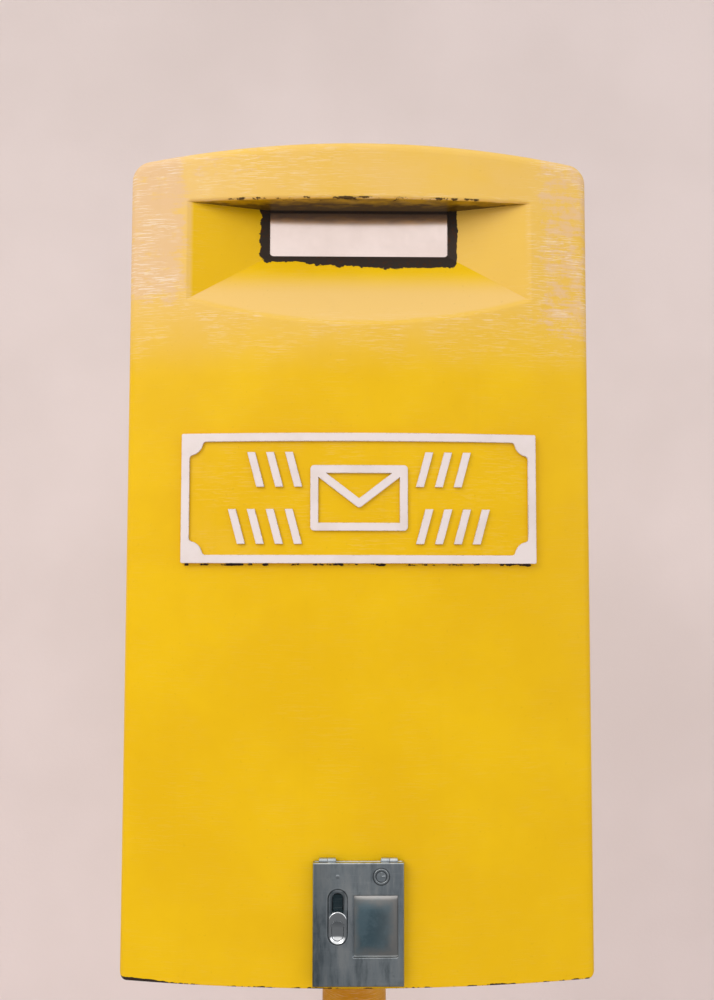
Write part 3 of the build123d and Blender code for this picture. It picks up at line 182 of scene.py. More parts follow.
class Shader:
    """A material or the surroundings under construction."""

    def __init__(self, name: str, owner: bpy.types.World | None = None) -> None:
        """Starts an empty tree.

        Args:
            name: Name of the new material.
            owner: World that holds the tree instead of a new material.
        """
        self.material = owner or bpy.data.materials.new(name)
        self.material.use_nodes = True
        self.nodes = self.material.node_tree.nodes
        self.links = self.material.node_tree.links
        self.nodes.clear()
        self.place = self.node("ShaderNodeTexCoord", {}, {}).out("Object")
        split = self.node("ShaderNodeSeparateXYZ", {}, {"Vector": self.place})
        self.x, self.y, self.z = split.out("X"), split.out("Y"), split.out("Z")
        facing = self.node("ShaderNodeTexCoord", {}, {}).out("Normal")
        turned = self.node("ShaderNodeSeparateXYZ", {}, {"Vector": facing})
        self.normal_x, self.normal_z = turned.out("X"), turned.out("Z")

    def node(self, kind: str, settings: dict[str, Any], inputs: dict[str | int, Any]) -> Node:
        """Adds a node.

        Args:
            kind: The node's type.
            settings: Properties that are set first; "stops" sets a ramp's places and colours.
            inputs: Values or wires for its sockets, by name or number.

        Returns:
            The node.
        """
        node = self.nodes.new(kind)
        for key, value in settings.items():
            if key == "stops":
                self._stops(node.color_ramp, value)
            else:
                setattr(node, key, value)
        for key, value in inputs.items():
            socket = node.inputs[key]
            if isinstance(value, Wire):
                self.links.new(value.socket, socket)
            elif isinstance(value, (int, float)) or len(value) == len(socket.default_value):
                socket.default_value = value
            else:
                socket.default_value = (*value, 1.0)
        return Node(self, node)

    @staticmethod
    def _stops(ramp: bpy.types.ColorRamp, stops: Sequence[tuple[float, Colour]]) -> None:
        """Sets a ramp's stops in order."""
        while len(ramp.elements) < len(stops):
            ramp.elements.new(1.0)
        for element, (place, colour) in zip(ramp.elements, stops):
            element.position = place
            element.color = (*colour, 1.0)

    def mix(self, factor: Wire | Number, first: Wire | Colour, second: Wire | Colour) -> Wire:
        """Blends two colours.

        Args:
            factor: How much of the second colour shows, 0 to 1.
            first: Colour at 0.
            second: Colour at 1.

        Returns:
            The blended colour.
        """
        settings = {"data_type": "RGBA", "clamp_factor": True}
        return self.node("ShaderNodeMix", settings, {0: factor, 6: first, 7: second}).out(2)

    def scaled(self, across: Number, deep: Number, up: Number, turn: Number = 0.0) -> Wire:
        """Object coordinates stretched by three scales, and turned about the depth axis.

        Args:
            across: Scale along X.
            deep: Scale along Y.
            up: Scale along Z.
            turn: Angle about Y in degrees.

        Returns:
            The coordinates.
        """
        turned = {
            "Vector": self.place,
            "Scale": (across, deep, up),
            "Rotation": (0.0, math.radians(turn), 0.0),
        }
        return self.node("ShaderNodeMapping", {"vector_type": "POINT"}, turned).out()

    def noise(self, where: Wire, scale: Number, detail: Number = 3.0, rough: Number = 0.55) -> Wire:
        """Cloudy noise between 0 and 1.

        Args:
            where: Coordinates.
            scale: Features for each unit of length.
            detail: Number of finer layers.
            rough: Strength of each finer layer.

        Returns:
            The noise's value.
        """
        inputs = {"Vector": where, "Scale": scale, "Detail": detail, "Roughness": rough}
        return self.node("ShaderNodeTexNoise", {"noise_dimensions": "3D"}, inputs).out("Fac")

    def cells(self, where: Wire, scale: Number) -> Wire:
        """Distance to the nearest of scattered points."""
        pattern = self.node("ShaderNodeTexVoronoi", {"feature": "F1"}, {"Vector": where, "Scale": scale})
        return pattern.out("Distance")

    def edge(self, radius: Number) -> Wire:
        """Mask that is 1 on sharp outer and inner edges within a radius and 0 on flat faces."""
        bevel = self.node("ShaderNodeBevel", {"samples": 4}, {"Radius": radius}).out()
        flat = self.node("ShaderNodeNewGeometry", {}, {}).out("Normal")
        product = self.node("ShaderNodeVectorMath", {"operation": "DOT_PRODUCT"}, {0: bevel, 1: flat})
        along = product.out("Value")
        return (1 - along).ramp(0.02, 0.28)

    def bump(self, height: Wire, depth: Number, strength: Number = 1.0, round_edges: Number = 0.0) -> Wire:
        """Normal from a height.

        Args:
            height: Height between 0 and 1.
            depth: What a height of 1 stands for, in metres.
            strength: Share of the bump that is used.
            round_edges: Radius that sharp edges seem rounded to.

        Returns:
            The bumped normal.
        """
        inputs: dict[str | int, Any] = {"Height": height, "Distance": depth, "Strength": strength}
        if round_edges:
            inputs["Normal"] = self.node("ShaderNodeBevel", {"samples": 4}, {"Radius": round_edges}).out()
        return self.node("ShaderNodeBump", {}, inputs).out()

    def surface(self, **sockets: Any) -> bpy.types.Material:
        """Ends the material in one Principled surface.

        Args:
            sockets: Values or wires by socket name, with _ for a space.

        Returns:
            The finished material.
        """
        inputs = {name.replace("_", " "): value for name, value in sockets.items()}
        shader = self.node("ShaderNodeBsdfPrincipled", {}, inputs)
        output = self.nodes.new("ShaderNodeOutputMaterial")
        self.links.new(shader.out("BSDF").socket, output.inputs["Surface"])
        return self.material


# ---------------------------------------------------------------- sizes that the finishes follow


@dataclass(frozen=True)
class CaseSizes:
    """Places on the case that its wear follows, in metres."""

    foot: float = 0.700
    front: float = -0.31105
    bow: float = 0.4764
    mouth_half: float = 0.168
    mouth_foot: float = 1.332
    ceiling: float = 1.4426
    slot_half: float = 0.089
    slot_foot: float = 1.3966
    slot_front: float = -0.27175
    sign_half: float = 0.1695
    sign_foot: float = 1.0904
    catch_x: float = -0.019
    catch_z: float = 0.7672


CASE = CaseSizes()


class Zone(Enum):
    """Where a painted piece sits, which settles how it has worn."""

    FRONT = "front"
    REAR = "rear"
    FOOT = "foot"
    POST = "post"
    SIGN = "sign"


# ---------------------------------------------------------------- finishes


@dataclass(frozen=True)
class YellowEnamel:
    """Yellow stoving enamel on sheet steel, faded, scratched and chipped as its zone has it, with painted
    light and shade in the slot's recess and a painted shadow under the sign.
    """

    name: str
    zone: Zone
    fresh: str = "e6bb04"
    deep: str = "e0b303"
    faded_and_lit: str = "e3be76"
    bleached: str = "dcb994"
    steel: str = "39312b"
    rust: str = "4a3020"

    def material(self) -> bpy.types.Material:
        """Builds the enamel.

        Returns:
            The material.
        """
        shader = Shader(self.name)
        fade_and_recess_light = self._fade_and_recess_light(shader)
        reach = self._wear_reach(shader)
        wear = self._wear(shader, reach)
        scuffs = (self._streaks(shader) * (reach * 1.1 + 0.012)).under(1.0)
        chips = self._chips(shader)
        mottle = shader.noise(shader.place, 7.0, 4.0, 0.6)
        colour = shader.mix(mottle.ramp(0.35, 0.7), linear(self.deep), linear(self.fresh))
        # Sun bleaching, and inside the recess painted light on its floor and right wall.
        colour = shader.mix(fade_and_recess_light, colour, linear(self.faded_and_lit))
        colour = shader.mix(wear * 0.72, colour, linear(self.bleached))
        colour = shader.mix(scuffs * 0.80, colour, linear("eee0cb"))
        colour = shader.mix(self._grime(shader) * 0.5, colour, linear("8a6414"))
        # Painted shade under the recess's ceiling, and a slight darkening of sharp edges on the other zones.
        colour = shader.mix(self._ceiling_shade_and_edge_darkening(shader), colour, linear("3d2c14"))
        rusted = shader.noise(shader.place, 260.0, 3.0).ramp(0.52, 0.70)
        bare = shader.mix(rusted, linear(self.steel), linear(self.rust))
        # The chips mask also holds the painted shadow under the sign, drawn as bare steel.
        colour = shader.mix(chips, colour, bare)
        peel = shader.noise(shader.place, 750.0, 2.0)
        height = peel * 0.16 - chips * 0.8 - scuffs * 0.12 - wear * 0.06 + 0.9
        rough = (0.32 + fade_and_recess_light * 0.16 + wear * 0.16 + scuffs * 0.10 + mottle * 0.06).under(1.0)
        return shader.surface(
            Base_Color=colour,
            Metallic=chips * 0.45,
            Roughness=rough * (1 - chips) + chips * 0.62,
            Coat_Weight=(1 - fade_and_recess_light) * (1 - chips) * 0.06,
            Coat_Roughness=0.18,
            Specular_IOR_Level=0.17,
            Normal=shader.bump(height, 0.00022, 0.9, 0.0007),
        )

    @staticmethod
    def _depth(shader: Shader) -> Wire:
        """Distance behind the bowed front."""
        return shader.y - CASE.front - shader.x * shader.x * CASE.bow

    @staticmethod
    def _in_mouth(shader: Shader) -> Wire:
        """Mask of the slot's recess, 1 inside it."""
        sides = 1 - abs(shader.x).ramp(CASE.mouth_half - 0.001, CASE.mouth_half + 0.003)
        roof = 1 - shader.z.ramp(CASE.ceiling + 0.001, CASE.ceiling + 0.004)
        return YellowEnamel._depth(shader).ramp(0.0012, 0.0034) * sides * roof * shader.z.ramp(1.310, 1.314)

    def _fade_and_recess_light(self, shader: Shader) -> Wire:
        """How far the sun has bleached the paint, 0 to 1; inside the slot's recess it carries painted light
        instead, paling the upward-facing floor and the left-facing right wall.
        """
        clouds = shader.noise(shader.scaled(1.0, 1.0, 1.6), 9.0, 5.0, 0.62)
        if self.zone is Zone.FRONT:
            rise = shader.z.ramp(1.262, 1.335) * 0.46 + shader.z.ramp(1.38, 1.46) * 0.20
            left = (0 - shader.x).ramp(0.10, 0.20) * shader.z.ramp(1.31, 1.37) * 0.30
            outer = (rise + left) * (clouds.ramp(0.30, 0.62) * 0.35 + 0.72)
            outer = outer * (1 - self._depth(shader).ramp(0.02, 0.11) * 0.45)
            mouth = self._in_mouth(shader)
            # Painted light: the recess's upward-facing floor and left-facing right wall are paled as if lit.
            floor = shader.normal_z.ramp(0.15, 0.40) * (-0.286 - shader.y).ramp(-0.006, 0.009) * 0.86
            right = (0 - shader.normal_x).ramp(0.15, 0.40) * 0.62
            return (outer * (1 - mouth) + floor.over(right) * mouth).under(1.0)
        if self.zone is Zone.REAR:
            return (shader.z.ramp(1.265, 1.50) * 0.42 + 0.03) * (clouds.ramp(0.30, 0.65) * 0.5 + 0.55)
        if self.zone is Zone.POST:
            return clouds.ramp(0.50, 0.75) * 0.30
        return clouds.ramp(0.5, 0.8) * 0.10

    def _wear_reach(self, shader: Shader) -> Wire:
        """How much rubbing a place has had, 0 to 1, without any grain."""
        edges = shader.edge(0.0022)
        if self.zone is Zone.FRONT:
            mouth = self._in_mouth(shader)
            left = (0 - shader.x).ramp(0.145, 0.185) * shader.z.ramp(1.318, 1.362) * 0.80
            band = (0 - shader.x).ramp(-0.10, 0.16) * shader.z.ramp(1.435, 1.455) * 0.46
            right = shader.x.ramp(0.150, 0.190) * shader.z.ramp(1.275, 1.325) * 0.62
            below = shader.z.ramp(1.268, 1.312) * (1 - shader.z.ramp(1.322, 1.336)) * 0.24
            reach = abs(shader.x) - CASE.mouth_half
            drop = (CASE.mouth_foot - 0.004 - shader.z).over(shader.z - CASE.ceiling)
            rim = (1 - abs(reach.over(drop)).ramp(0.001, 0.010)) * shader.z.ramp(1.30, 1.33) * 0.40
            outer = left.over(band).over(right).over(below).over(rim) * (1 - mouth * 0.80)
            outer = outer * (1 - self._depth(shader).ramp(0.015, 0.09) * 0.80)
            return (outer + edges * 0.20 + 0.02).under(1.0)
        if self.zone is Zone.REAR:
            return (shader.z.ramp(1.46, 1.50) * 0.35 + edges * 0.30 + 0.05).under(1.0)
        if self.zone is Zone.POST:
            return edges * 0.35 + 0.16
        return edges * 0.30 + 0.06

    @staticmethod
    def _wear(shader: Shader, reach: Wire) -> Wire:
        """Rubbed, chalky paint with a crisp, grained outline."""
        fine = shader.noise(shader.place, 75.0, 7.0, 0.72)
        lines = shader.noise(shader.scaled(26.0, 26.0, 330.0, 2.0), 1.0, 5.0, 0.7)
        total = reach + (fine - 0.5) * 1.15 + (lines - 0.5) * 1.05
        return total.ramp(0.50, 0.78) * reach.ramp(0.04, 0.22)

    def _streaks(self, shader: Shader) -> Wire:
        """Fine short scratches, nearly all level, with a few that slant."""
        runs = ((1.0, 46.0, 1250.0, 0.60), (-7.0, 34.0, 950.0, 0.62), (12.0, 52.0, 1100.0, 0.63))
        cuts = ((33.0, 40.0, 900.0, 0.645), (-52.0, 44.0, 950.0, 0.65), (78.0, 36.0, 1000.0, 0.66))
        total: Wire | None = None
        for turn, along, across, limit in runs + cuts:
            grain = shader.noise(shader.scaled(along, along, across, turn), 1.0, 2.0, 0.6)
            line = grain.ramp(limit, limit + 0.05)
            total = line if total is None else total.over(line)
        assert total is not None
        return total * shader.noise(shader.place, 26.0, 4.0).ramp(0.36, 0.58)

    def _ceiling_shade_and_edge_darkening(self, shader: Shader) -> Wire:
        """Painted shade under the recess's ceiling, deepest towards the slot; on other zones a slight
        darkening of sharp edges.
        """
        if self.zone is not Zone.FRONT:
            return shader.edge(0.0015) * 0.12
        shade_blotches = shader.noise(shader.scaled(1.0, 2.0, 1.0), 45.0, 5.0, 0.65)
        inward = (shader.y - CASE.slot_front + 0.004).ramp(-0.030, -0.008)
        # Painted shade on the recess's downward-facing ceiling and towards the slot.
        under = (0 - shader.normal_z).ramp(0.35, 0.75) * self._in_mouth(shader)
        under = under * (shade_blotches.ramp(0.38, 0.62) * 0.30 + inward * 0.34 + 0.36)
        below = shader.z.ramp(CASE.ceiling - 0.008, CASE.ceiling) * self._in_mouth(shader)
        deep = (shader.y - CASE.slot_front + 0.004).ramp(-0.022, 0.0) * below
        cloud = shader.noise(shader.place, 60.0, 4.0)
        return ((under + deep * 0.22) * (cloud * 0.3 + 0.85)).under(0.94)

    def _grime(self, shader: Shader) -> Wire:
        """Rain dirt that has run down, and scattered spots; on the post also darker towards its foot."""
        runs = shader.noise(shader.scaled(48.0, 48.0, 2.2), 1.0, 4.0, 0.6).ramp(0.56, 0.78)
        spots = shader.noise(shader.place, 320.0, 2.0).ramp(0.68, 0.74)
        if self.zone is Zone.POST:
            return (runs * 0.55 + (0.35 - shader.z).ramp(-0.1, 0.35) * 0.5).under(1.0)
        if self.zone is Zone.FRONT:
            return runs * 0.04 + spots * 0.16
        return runs * 0.18 + spots * 0.25

    def _chips(self, shader: Shader) -> Wire:
        """Where the enamel has gone down to the steel, 0 or 1 with a narrow edge; on the front it also carries
        the painted shadow under the sign.
        """
        grain = shader.noise(shader.place, 95.0, 5.0, 0.65)
        coarse = shader.noise(shader.place, 34.0, 4.0, 0.6)
        if self.zone is Zone.FRONT:
            foot = 1 - shader.z.ramp(CASE.foot + 0.0002, CASE.foot + 0.0048)
            corner = (0 - shader.x).ramp(0.165, 0.215) * (1 - shader.z.ramp(CASE.foot, CASE.foot + 0.014))
            low = (foot * 0.52 + corner * 0.40 + grain * 0.55 + coarse * 0.35).ramp(0.97, 1.0)
            lip = 1 - abs(shader.z - CASE.ceiling - 0.001).ramp(0.0004, 0.0034)
            lip = lip * (1 - abs(shader.x).ramp(0.150, 0.169))
            lip = lip * (CASE.front + 0.012 - shader.y).ramp(0.0, 0.004)
            ceiling = (lip * 0.50 + grain * 0.75).ramp(0.86, 0.92) * 0.9
            return low.over(ceiling).over(self._slot_rim(shader)).over(self._sign_shadow(shader, grain))
        if self.zone is Zone.FOOT:
            return (shader.edge(0.0012) * 0.55 + grain * 0.75).ramp(0.86, 0.90)
        if self.zone is Zone.REAR:
            foot = 1 - shader.z.ramp(CASE.foot, CASE.foot + 0.006)
            return (foot * 0.45 + grain * 0.6 + coarse * 0.3).ramp(0.86, 0.89)
        if self.zone is Zone.POST:
            foot = 1 - shader.z.ramp(0.012, 0.16)
            return (foot * 0.12 + grain * 0.65 + coarse * 0.35).ramp(0.735, 0.76)
        return grain.ramp(0.76, 0.79)

    @staticmethod
    def _slot_rim(shader: Shader) -> Wire:
        """The bared, darkened steel round the slot, with a ragged edge of paint."""
        side = abs(shader.x) - CASE.slot_half
        low = CASE.slot_foot - shader.z
        wander = shader.noise(shader.place, 60.0, 5.0, 0.7)
        broad = shader.noise(shader.place, 22.0, 2.0)
        wide = shader.x.ramp(-0.075, 0.01) * 0.0050 + 0.0078 + (broad - 0.5) * 0.008
        out_x, out_z = side.over(0.0) * (wide / 0.0090), low.over(0.0)
        away = (out_x * out_x + out_z * out_z).power(0.5)
        bared = (wide + (wander - 0.48) * 0.013 - away).ramp(-0.0002, 0.0002)
        ceiling = (0 - shader.normal_z).ramp(0.5, 0.8) * 0.0085
        panel = (shader.y - CASE.slot_front + 0.010 - ceiling).ramp(-0.001, 0.0)
        above_foot = (shader.z - CASE.slot_foot + 0.020).ramp(0.0, 0.001)
        under_roof = (CASE.ceiling + 0.004 - shader.z).ramp(0.0, 0.001)
        return bared * panel * (above_foot * under_roof)

    @staticmethod
    def _sign_shadow(shader: Shader, grain: Wire) -> Wire:
        """Painted shadow along the foot of the sign, drawn as rust and lost paint."""
        band = (1 - abs(shader.z - CASE.sign_foot + 0.0012).ramp(0.0004, 0.0038)) * (
            1 - abs(shader.x).ramp(CASE.sign_half - 0.006, CASE.sign_half + 0.003)
        )
        return (band * 0.50 + grain * 0.8).ramp(0.88, 0.92)


@dataclass(frozen=True)
class RaisedWhite:
    """White enamel on the sign's raised border and marks, soiled in clouds, with knocked edges and a darkening
    along the edges that is partly soiling and partly painted shade.
    """

    name: str = "raised_white"
    white: str = "e0d7d6"
    soil_and_edge_shade: str = "b9a794"
    under: str = "4a3a30"

    def material(self) -> bpy.types.Material:
        """Builds the enamel."""
        shader = Shader(self.name)
        cloud = shader.noise(shader.place, 24.0, 5.0, 0.6)
        grain = shader.noise(shader.place, 150.0, 5.0, 0.65)
        edge = shader.edge(0.0011)
        chips = (edge * 0.42 + grain * 0.78).ramp(0.80, 0.84)
        colour = shader.mix(cloud.ramp(0.45, 0.75) * 0.22, linear(self.white), linear(self.soil_and_edge_shade))
        # Partly soiling, partly painted shade along the raised edges.
        colour = shader.mix(edge * grain.ramp(0.35, 0.7) * 0.35, colour, linear(self.soil_and_edge_shade))
        colour = shader.mix(chips, colour, linear(self.under))
        height = shader.noise(shader.place, 700.0, 2.0) * 0.2 - chips * 0.8 + 0.8
        return shader.surface(
            Base_Color=colour,
            Roughness=cloud * 0.16 + 0.30 + chips * 0.25,
            Specular_IOR_Level=0.45,
            Normal=shader.bump(height, 0.0002, 0.9, 0.0009),
        )


class Grain(Enum):
    """Which way a metal was brushed."""

    LEVEL = "level"
    UPRIGHT = "upright"
    NONE = "none"


@dataclass(frozen=True)
class Metal:
    """Bare or plated metal with its brushing, handling scratches and dull spots, and where asked a painted
    highlight along its edges.
    """

    name: str
    tint: str
    dull: str
    grain: Grain = Grain.NONE
    roughness: float = 0.28
    spread: float = 0.14
    scratches: float = 0.5
    painted_edge_highlight: float = 0.0
    depth: float = 0.00006
    metallic: float = 1.0

    def material(self) -> bpy.types.Material:
        """Builds the metal."""
        shader = Shader(self.name)
        cloud = shader.noise(shader.place, 18.0, 5.0, 0.62)
        speck = shader.noise(shader.place, 240.0, 4.0, 0.6)
        brushed = self._brushing(shader)
        marks = self._scratches(shader)
        colour = shader.mix(cloud.ramp(0.32, 0.72), linear(self.tint), linear(self.dull))
        colour = shader.mix(speck.ramp(0.58, 0.74) * 0.45, colour, linear(self.dull))
        colour = shader.mix(marks * 0.55, colour, linear("d9dcde"))
        # Painted highlight along sharp edges.
        if self.painted_edge_highlight:
            colour = shader.mix(shader.edge(0.0009) * self.painted_edge_highlight, colour, linear("cfd2d3"))
        colour = self.tone(shader, colour)
        rough = brushed * self.spread + cloud * self.spread * 0.7 + (self.roughness - self.spread * 0.6)
        height = brushed * 0.55 - marks * 0.5 + speck * 0.12 + 0.5
        return shader.surface(
            Base_Color=colour,
            Metallic=self.metallic,
            Roughness=(rough + marks * 0.08).under(1.0).over(0.03),
            Normal=shader.bump(height, self.depth, 0.8, 0.0005),
        )

    def tone(self, shader: Shader, colour: Wire) -> Wire:
        """Leaves the plain colour as it is; a finish of one piece changes it."""
        return colour

    def _brushing(self, shader: Shader) -> Wire:
        """Fine parallel lines along the grain, or plain grain."""
        if self.grain is Grain.LEVEL:
            return shader.noise(shader.scaled(14.0, 40.0, 2300.0), 1.0, 3.0, 0.7)
        if self.grain is Grain.UPRIGHT:
            return shader.noise(shader.scaled(2300.0, 300.0, 14.0), 1.0, 3.0, 0.7)
        return shader.noise(shader.place, 420.0, 3.0, 0.6)

    def _scratches(self, shader: Shader) -> Wire:
        """Handling scratches in three directions."""
        level = shader.noise(shader.scaled(16.0, 30.0, 900.0, 3.0), 1.0, 2.0, 0.6).ramp(0.63, 0.69)
        slant = shader.noise(shader.scaled(18.0, 30.0, 800.0, 38.0), 1.0, 2.0, 0.6).ramp(0.65, 0.70)
        steep = shader.noise(shader.scaled(22.0, 30.0, 900.0, -62.0), 1.0, 2.0, 0.6).ramp(0.66, 0.71)
        return (level.over(slant).over(steep) * self.scratches).under(1.0)


@dataclass(frozen=True)
class CoverSteel(Metal):
    """Brushed steel of the lock's cover, with dark patina round its catch slot, painted shade round its mark,
    on its left side and in the line of its pressed outline, and painted highlights on its edges, its raised
    ring and beside the pressed outline.
    """

    mark: tuple[float, float, float] = (0.021, 0.8032, 0.00625)
    face: float = -0.32005
    slot_half: tuple[float, float] = (0.0055, 0.0215)
    pressed: tuple[float, float] = (0.0160, 0.0088)

    def tone(self, shader: Shader, colour: Wire) -> Wire:
        """Darkens the catch slot's surroundings with patina, and paints shade and highlights on the steel.

        Args:
            shader: The material under construction.
            colour: The steel's plain colour.

        Returns:
            The toned colour.
        """
        x, z, radius = self.mark
        across, up = shader.x - x, shader.z - z
        ring = abs((across * across + up * up).power(0.5) - radius)
        # Painted shade: a dark ring round the raised mark.
        mark_shade_ring = ring.ramp(0.0007, 0.0010) * (1 - ring.ramp(0.0012, 0.0022))
        raised = (self.face - 0.0002 - shader.y).ramp(0.0, 0.0002)
        blot = shader.noise(shader.place, 55.0, 5.0, 0.65)
        veil = shader.noise(shader.scaled(85.0, 30.0, 16.0, 4.0), 1.0, 6.0, 0.68)
        aside, off_middle = shader.x - CASE.catch_x, abs(shader.z - CASE.catch_z)
        slot = 1 - (abs(aside) - self.slot_half[0]).over(off_middle - self.slot_half[1]).ramp(0.0, 0.0045)
        stain = (slot * 0.75 + (blot - 0.5) * 0.8).ramp(0.25, 0.85)
        # Painted shade: the cover is darkened towards its left side.
        left = (0 - shader.x).ramp(0.012, 0.042)
        colour = shader.mix((1 - veil.ramp(0.34, 0.52)) * 0.50, colour, linear("dfe0df"))
        colour = shader.mix(veil.ramp(0.50, 0.68) * 0.50, colour, linear("3f5059"))
        colour = shader.mix(stain * 0.62, colour, linear("2e414a"))
        colour = shader.mix(left * 0.32 + blot.ramp(0.56, 0.75) * 0.25, colour, linear("515f68"))
        # A painted shaded line with a painted highlight beside it stands for the pressed outline round the
        # slot.
        tall = (off_middle - self.pressed[0]).over(0.0)
        oblong = (aside * aside + tall * tall).power(0.5) - self.pressed[1]
        painted_groove_shade = 1 - abs(oblong).ramp(0.0002, 0.0009)
        colour = shader.mix(painted_groove_shade * (blot.ramp(0.30, 0.60) * 0.5 + 0.4), colour, linear("1d2529"))
        lit = 1 - abs(oblong - 0.0012).ramp(0.0001, 0.0007)
        colour = shader.mix(lit * 0.45, colour, linear("cfd5d8"))
        # Painted shade in the ring round the mark; the raised ring gets a highlight, partly painted and partly
        # rubbed.
        colour = shader.mix(mark_shade_ring * (1 - raised) * 0.85, colour, linear("20262a"))
        return shader.mix(raised * 0.55, colour, linear("b4babd"))


@dataclass(frozen=True)
class TagSteel(Metal):
    """Satin steel of the time tag, with a painted reflection: dark in its middle, pale along its edges and
    towards its right.
    """

    middle: tuple[float, float] = (0.0145, 0.7572)
    half: tuple[float, float] = (0.0212, 0.0284)

    def tone(self, shader: Shader, colour: Wire) -> Wire:
        """Paints reflected light: pales the tag towards its edges and its right side, and darkens its middle.

        Args:
            shader: The material under construction.
            colour: The steel's plain colour.

        Returns:
            The toned colour.
        """
        across = abs(shader.x - self.middle[0]) / self.half[0]
        up = abs(shader.z - self.middle[1]) / self.half[1]
        cloud = shader.noise(shader.place, 70.0, 5.0, 0.65)
        # Painted reflection: the tag is pale along its edges and dark in its middle.
        rim = (across.over(up) + (cloud - 0.5) * 0.55).ramp(0.52, 1.02)
        # Painted highlight towards the right side.
        right = (shader.x - self.middle[0]).ramp(-0.004, 0.02) * 0.35
        colour = shader.mix((1 - rim) * cloud.ramp(0.42, 0.66) * 0.40, colour, linear("4d6874"))
        return shader.mix((rim * 0.95 + right).under(0.95), colour, linear("cbc7c3"))


@dataclass(frozen=True)
class ZincPlate:
    """Zinc plating with its crystals, gone dull in patches."""

    name: str = "zinc_plating"
    bright: str = "a9aeb0"
    dull: str = "7d8184"
    metallic: float = 0.85

    def material(self) -> bpy.types.Material:
        """Builds the plating."""
        shader = Shader(self.name)
        crystal = shader.cells(shader.place, 160.0)
        cloud = shader.noise(shader.place, 30.0, 5.0, 0.6)
        grain = shader.noise(shader.place, 600.0, 3.0)
        dulled = (crystal * 0.8 + cloud * 0.5).ramp(0.3, 0.8)
        colour = shader.mix(dulled, linear(self.bright), linear(self.dull))
        colour = shader.mix(cloud.ramp(0.62, 0.78) * 0.4, colour, linear("8d7a63"))
        return shader.surface(
            Base_Color=colour,
            Metallic=self.metallic,
            Roughness=crystal * 0.12 + cloud * 0.18 + 0.28,
            Normal=shader.bump(grain * 0.5 + crystal * 0.3, 0.0001, 0.8, 0.0004),
        )


@dataclass(frozen=True)
class Moulding:
    """Rubber or plastic with a fine moulded grain and dust in its hollows."""

    name: str
    tint: str
    dust: str
    roughness: float = 0.6

    def material(self) -> bpy.types.Material:
        """Builds the moulding."""
        shader = Shader(self.name)
        cloud = shader.noise(shader.place, 26.0, 5.0, 0.6)
        grain = shader.noise(shader.place, 1100.0, 3.0)
        colour = shader.mix(cloud.ramp(0.45, 0.75) * 0.6, linear(self.tint), linear(self.dust))
        return shader.surface(
            Base_Color=colour,
            Roughness=cloud * 0.2 + self.roughness,
            Specular_IOR_Level=0.4,
            Normal=shader.bump(grain, 0.00012, 0.8, 0.0004),
        )


def made_by(finish: YellowEnamel | RaisedWhite | Metal | ZincPlate | Moulding) -> Any:
    """Gives a palette's field, which holds the finish's material once the palette is made."""
    return field(default_factory=finish.material)


@dataclass
class Palette:
    """Every finish of the post box, built once."""

    front: bpy.types.Material = made_by(YellowEnamel("front_enamel", Zone.FRONT))
    rear: bpy.types.Material = made_by(YellowEnamel("case_enamel", Zone.REAR))
    foot: bpy.types.Material = made_by(YellowEnamel("foot_enamel", Zone.FOOT))
    # The post's darker yellow is painted shade: the case's enamel darkened where the post stood in shade.
    post: bpy.types.Material = made_by(YellowEnamel("post_enamel", Zone.POST, fresh="cf9412", deep="c0820f"))
    sign: bpy.types.Material = made_by(YellowEnamel("sign_enamel", Zone.SIGN))
    white: bpy.types.Material = made_by(RaisedWhite())
    cover: bpy.types.Material = made_by(
        CoverSteel(
            "cover_steel",
            "c2cacf",
            "a5aeb5",
            Grain.UPRIGHT,
            roughness=0.34,
            spread=0.14,
            scratches=0.34,
            painted_edge_highlight=0.90,
            depth=0.00004,
        )
    )
    # The flap's pink tint is a painted reflection of the pale pink wall.
    flap: bpy.types.Material = made_by(
        Metal("flap_steel", "f6e3dc", "eedad2", Grain.UPRIGHT, roughness=0.15, spread=0.06, scratches=0.15)
    )
    tag: bpy.types.Material = made_by(
        TagSteel("tag_steel", "9cbac6", "8aa5b1", roughness=0.30, spread=0.08, scratches=0.12, depth=0.00003)
    )
    chrome: bpy.types.Material = made_by(
        Metal("chrome_plating", "f0f1f2", "dfe1e3", roughness=0.09, spread=0.03, scratches=0.12, depth=0.00002)
    )
    # The catch plate's dark tint is partly painted shade: seen through the cover's slot it stands for the dark
    # hole above the thumb.
    catch: bpy.types.Material = made_by(
        Metal("catch_steel", "4d5f66", "39474c", Grain.UPRIGHT, roughness=0.42, spread=0.12, scratches=0.2)
    )
    zinc: bpy.types.Material = made_by(ZincPlate())
    brass: bpy.types.Material = made_by(
        Metal("lock_brass", "b0894a", "87673a", roughness=0.28, spread=0.12, scratches=0.4)
    )
    rubber: bpy.types.Material = made_by(Moulding("seal_rubber", "1d1c1b", "4c4741", 0.62))
    plastic: bpy.types.Material = made_by(Moulding("cap_plastic", "242322", "57514a", 0.5))


# ---------------------------------------------------------------- mesh helpers


def place_object(name: str, mesh: bpy.types.Mesh) -> bpy.types.Object:
    """Puts a mesh in the scene at the origin.

    Args:
        name: Name of the piece.
        mesh: Its mesh, in the shared frame.

    Returns:
        The new object.
    """
    item = bpy.data.objects.new(name, mesh)
    bpy.context.scene.collection.objects.link(item)
    return item


def finished_mesh(item: bpy.types.Object, name: str) -> bpy.types.Mesh:
    """Turns an object with live modifiers into a plain mesh and removes the modifiers.

    Args:
        item: Object whose modifiers are taken.
        name: Name of the mesh.

    Returns:
        The plain mesh, which the object now holds.
    """
    bpy.context.view_layer.update()
    evaluated = item.evaluated_get(bpy.context.evaluated_depsgraph_get())
    mesh = bpy.data.meshes.new_from_object(evaluated)
    mesh.name = name
    item.modifiers.clear()
    item.data = mesh
    return mesh


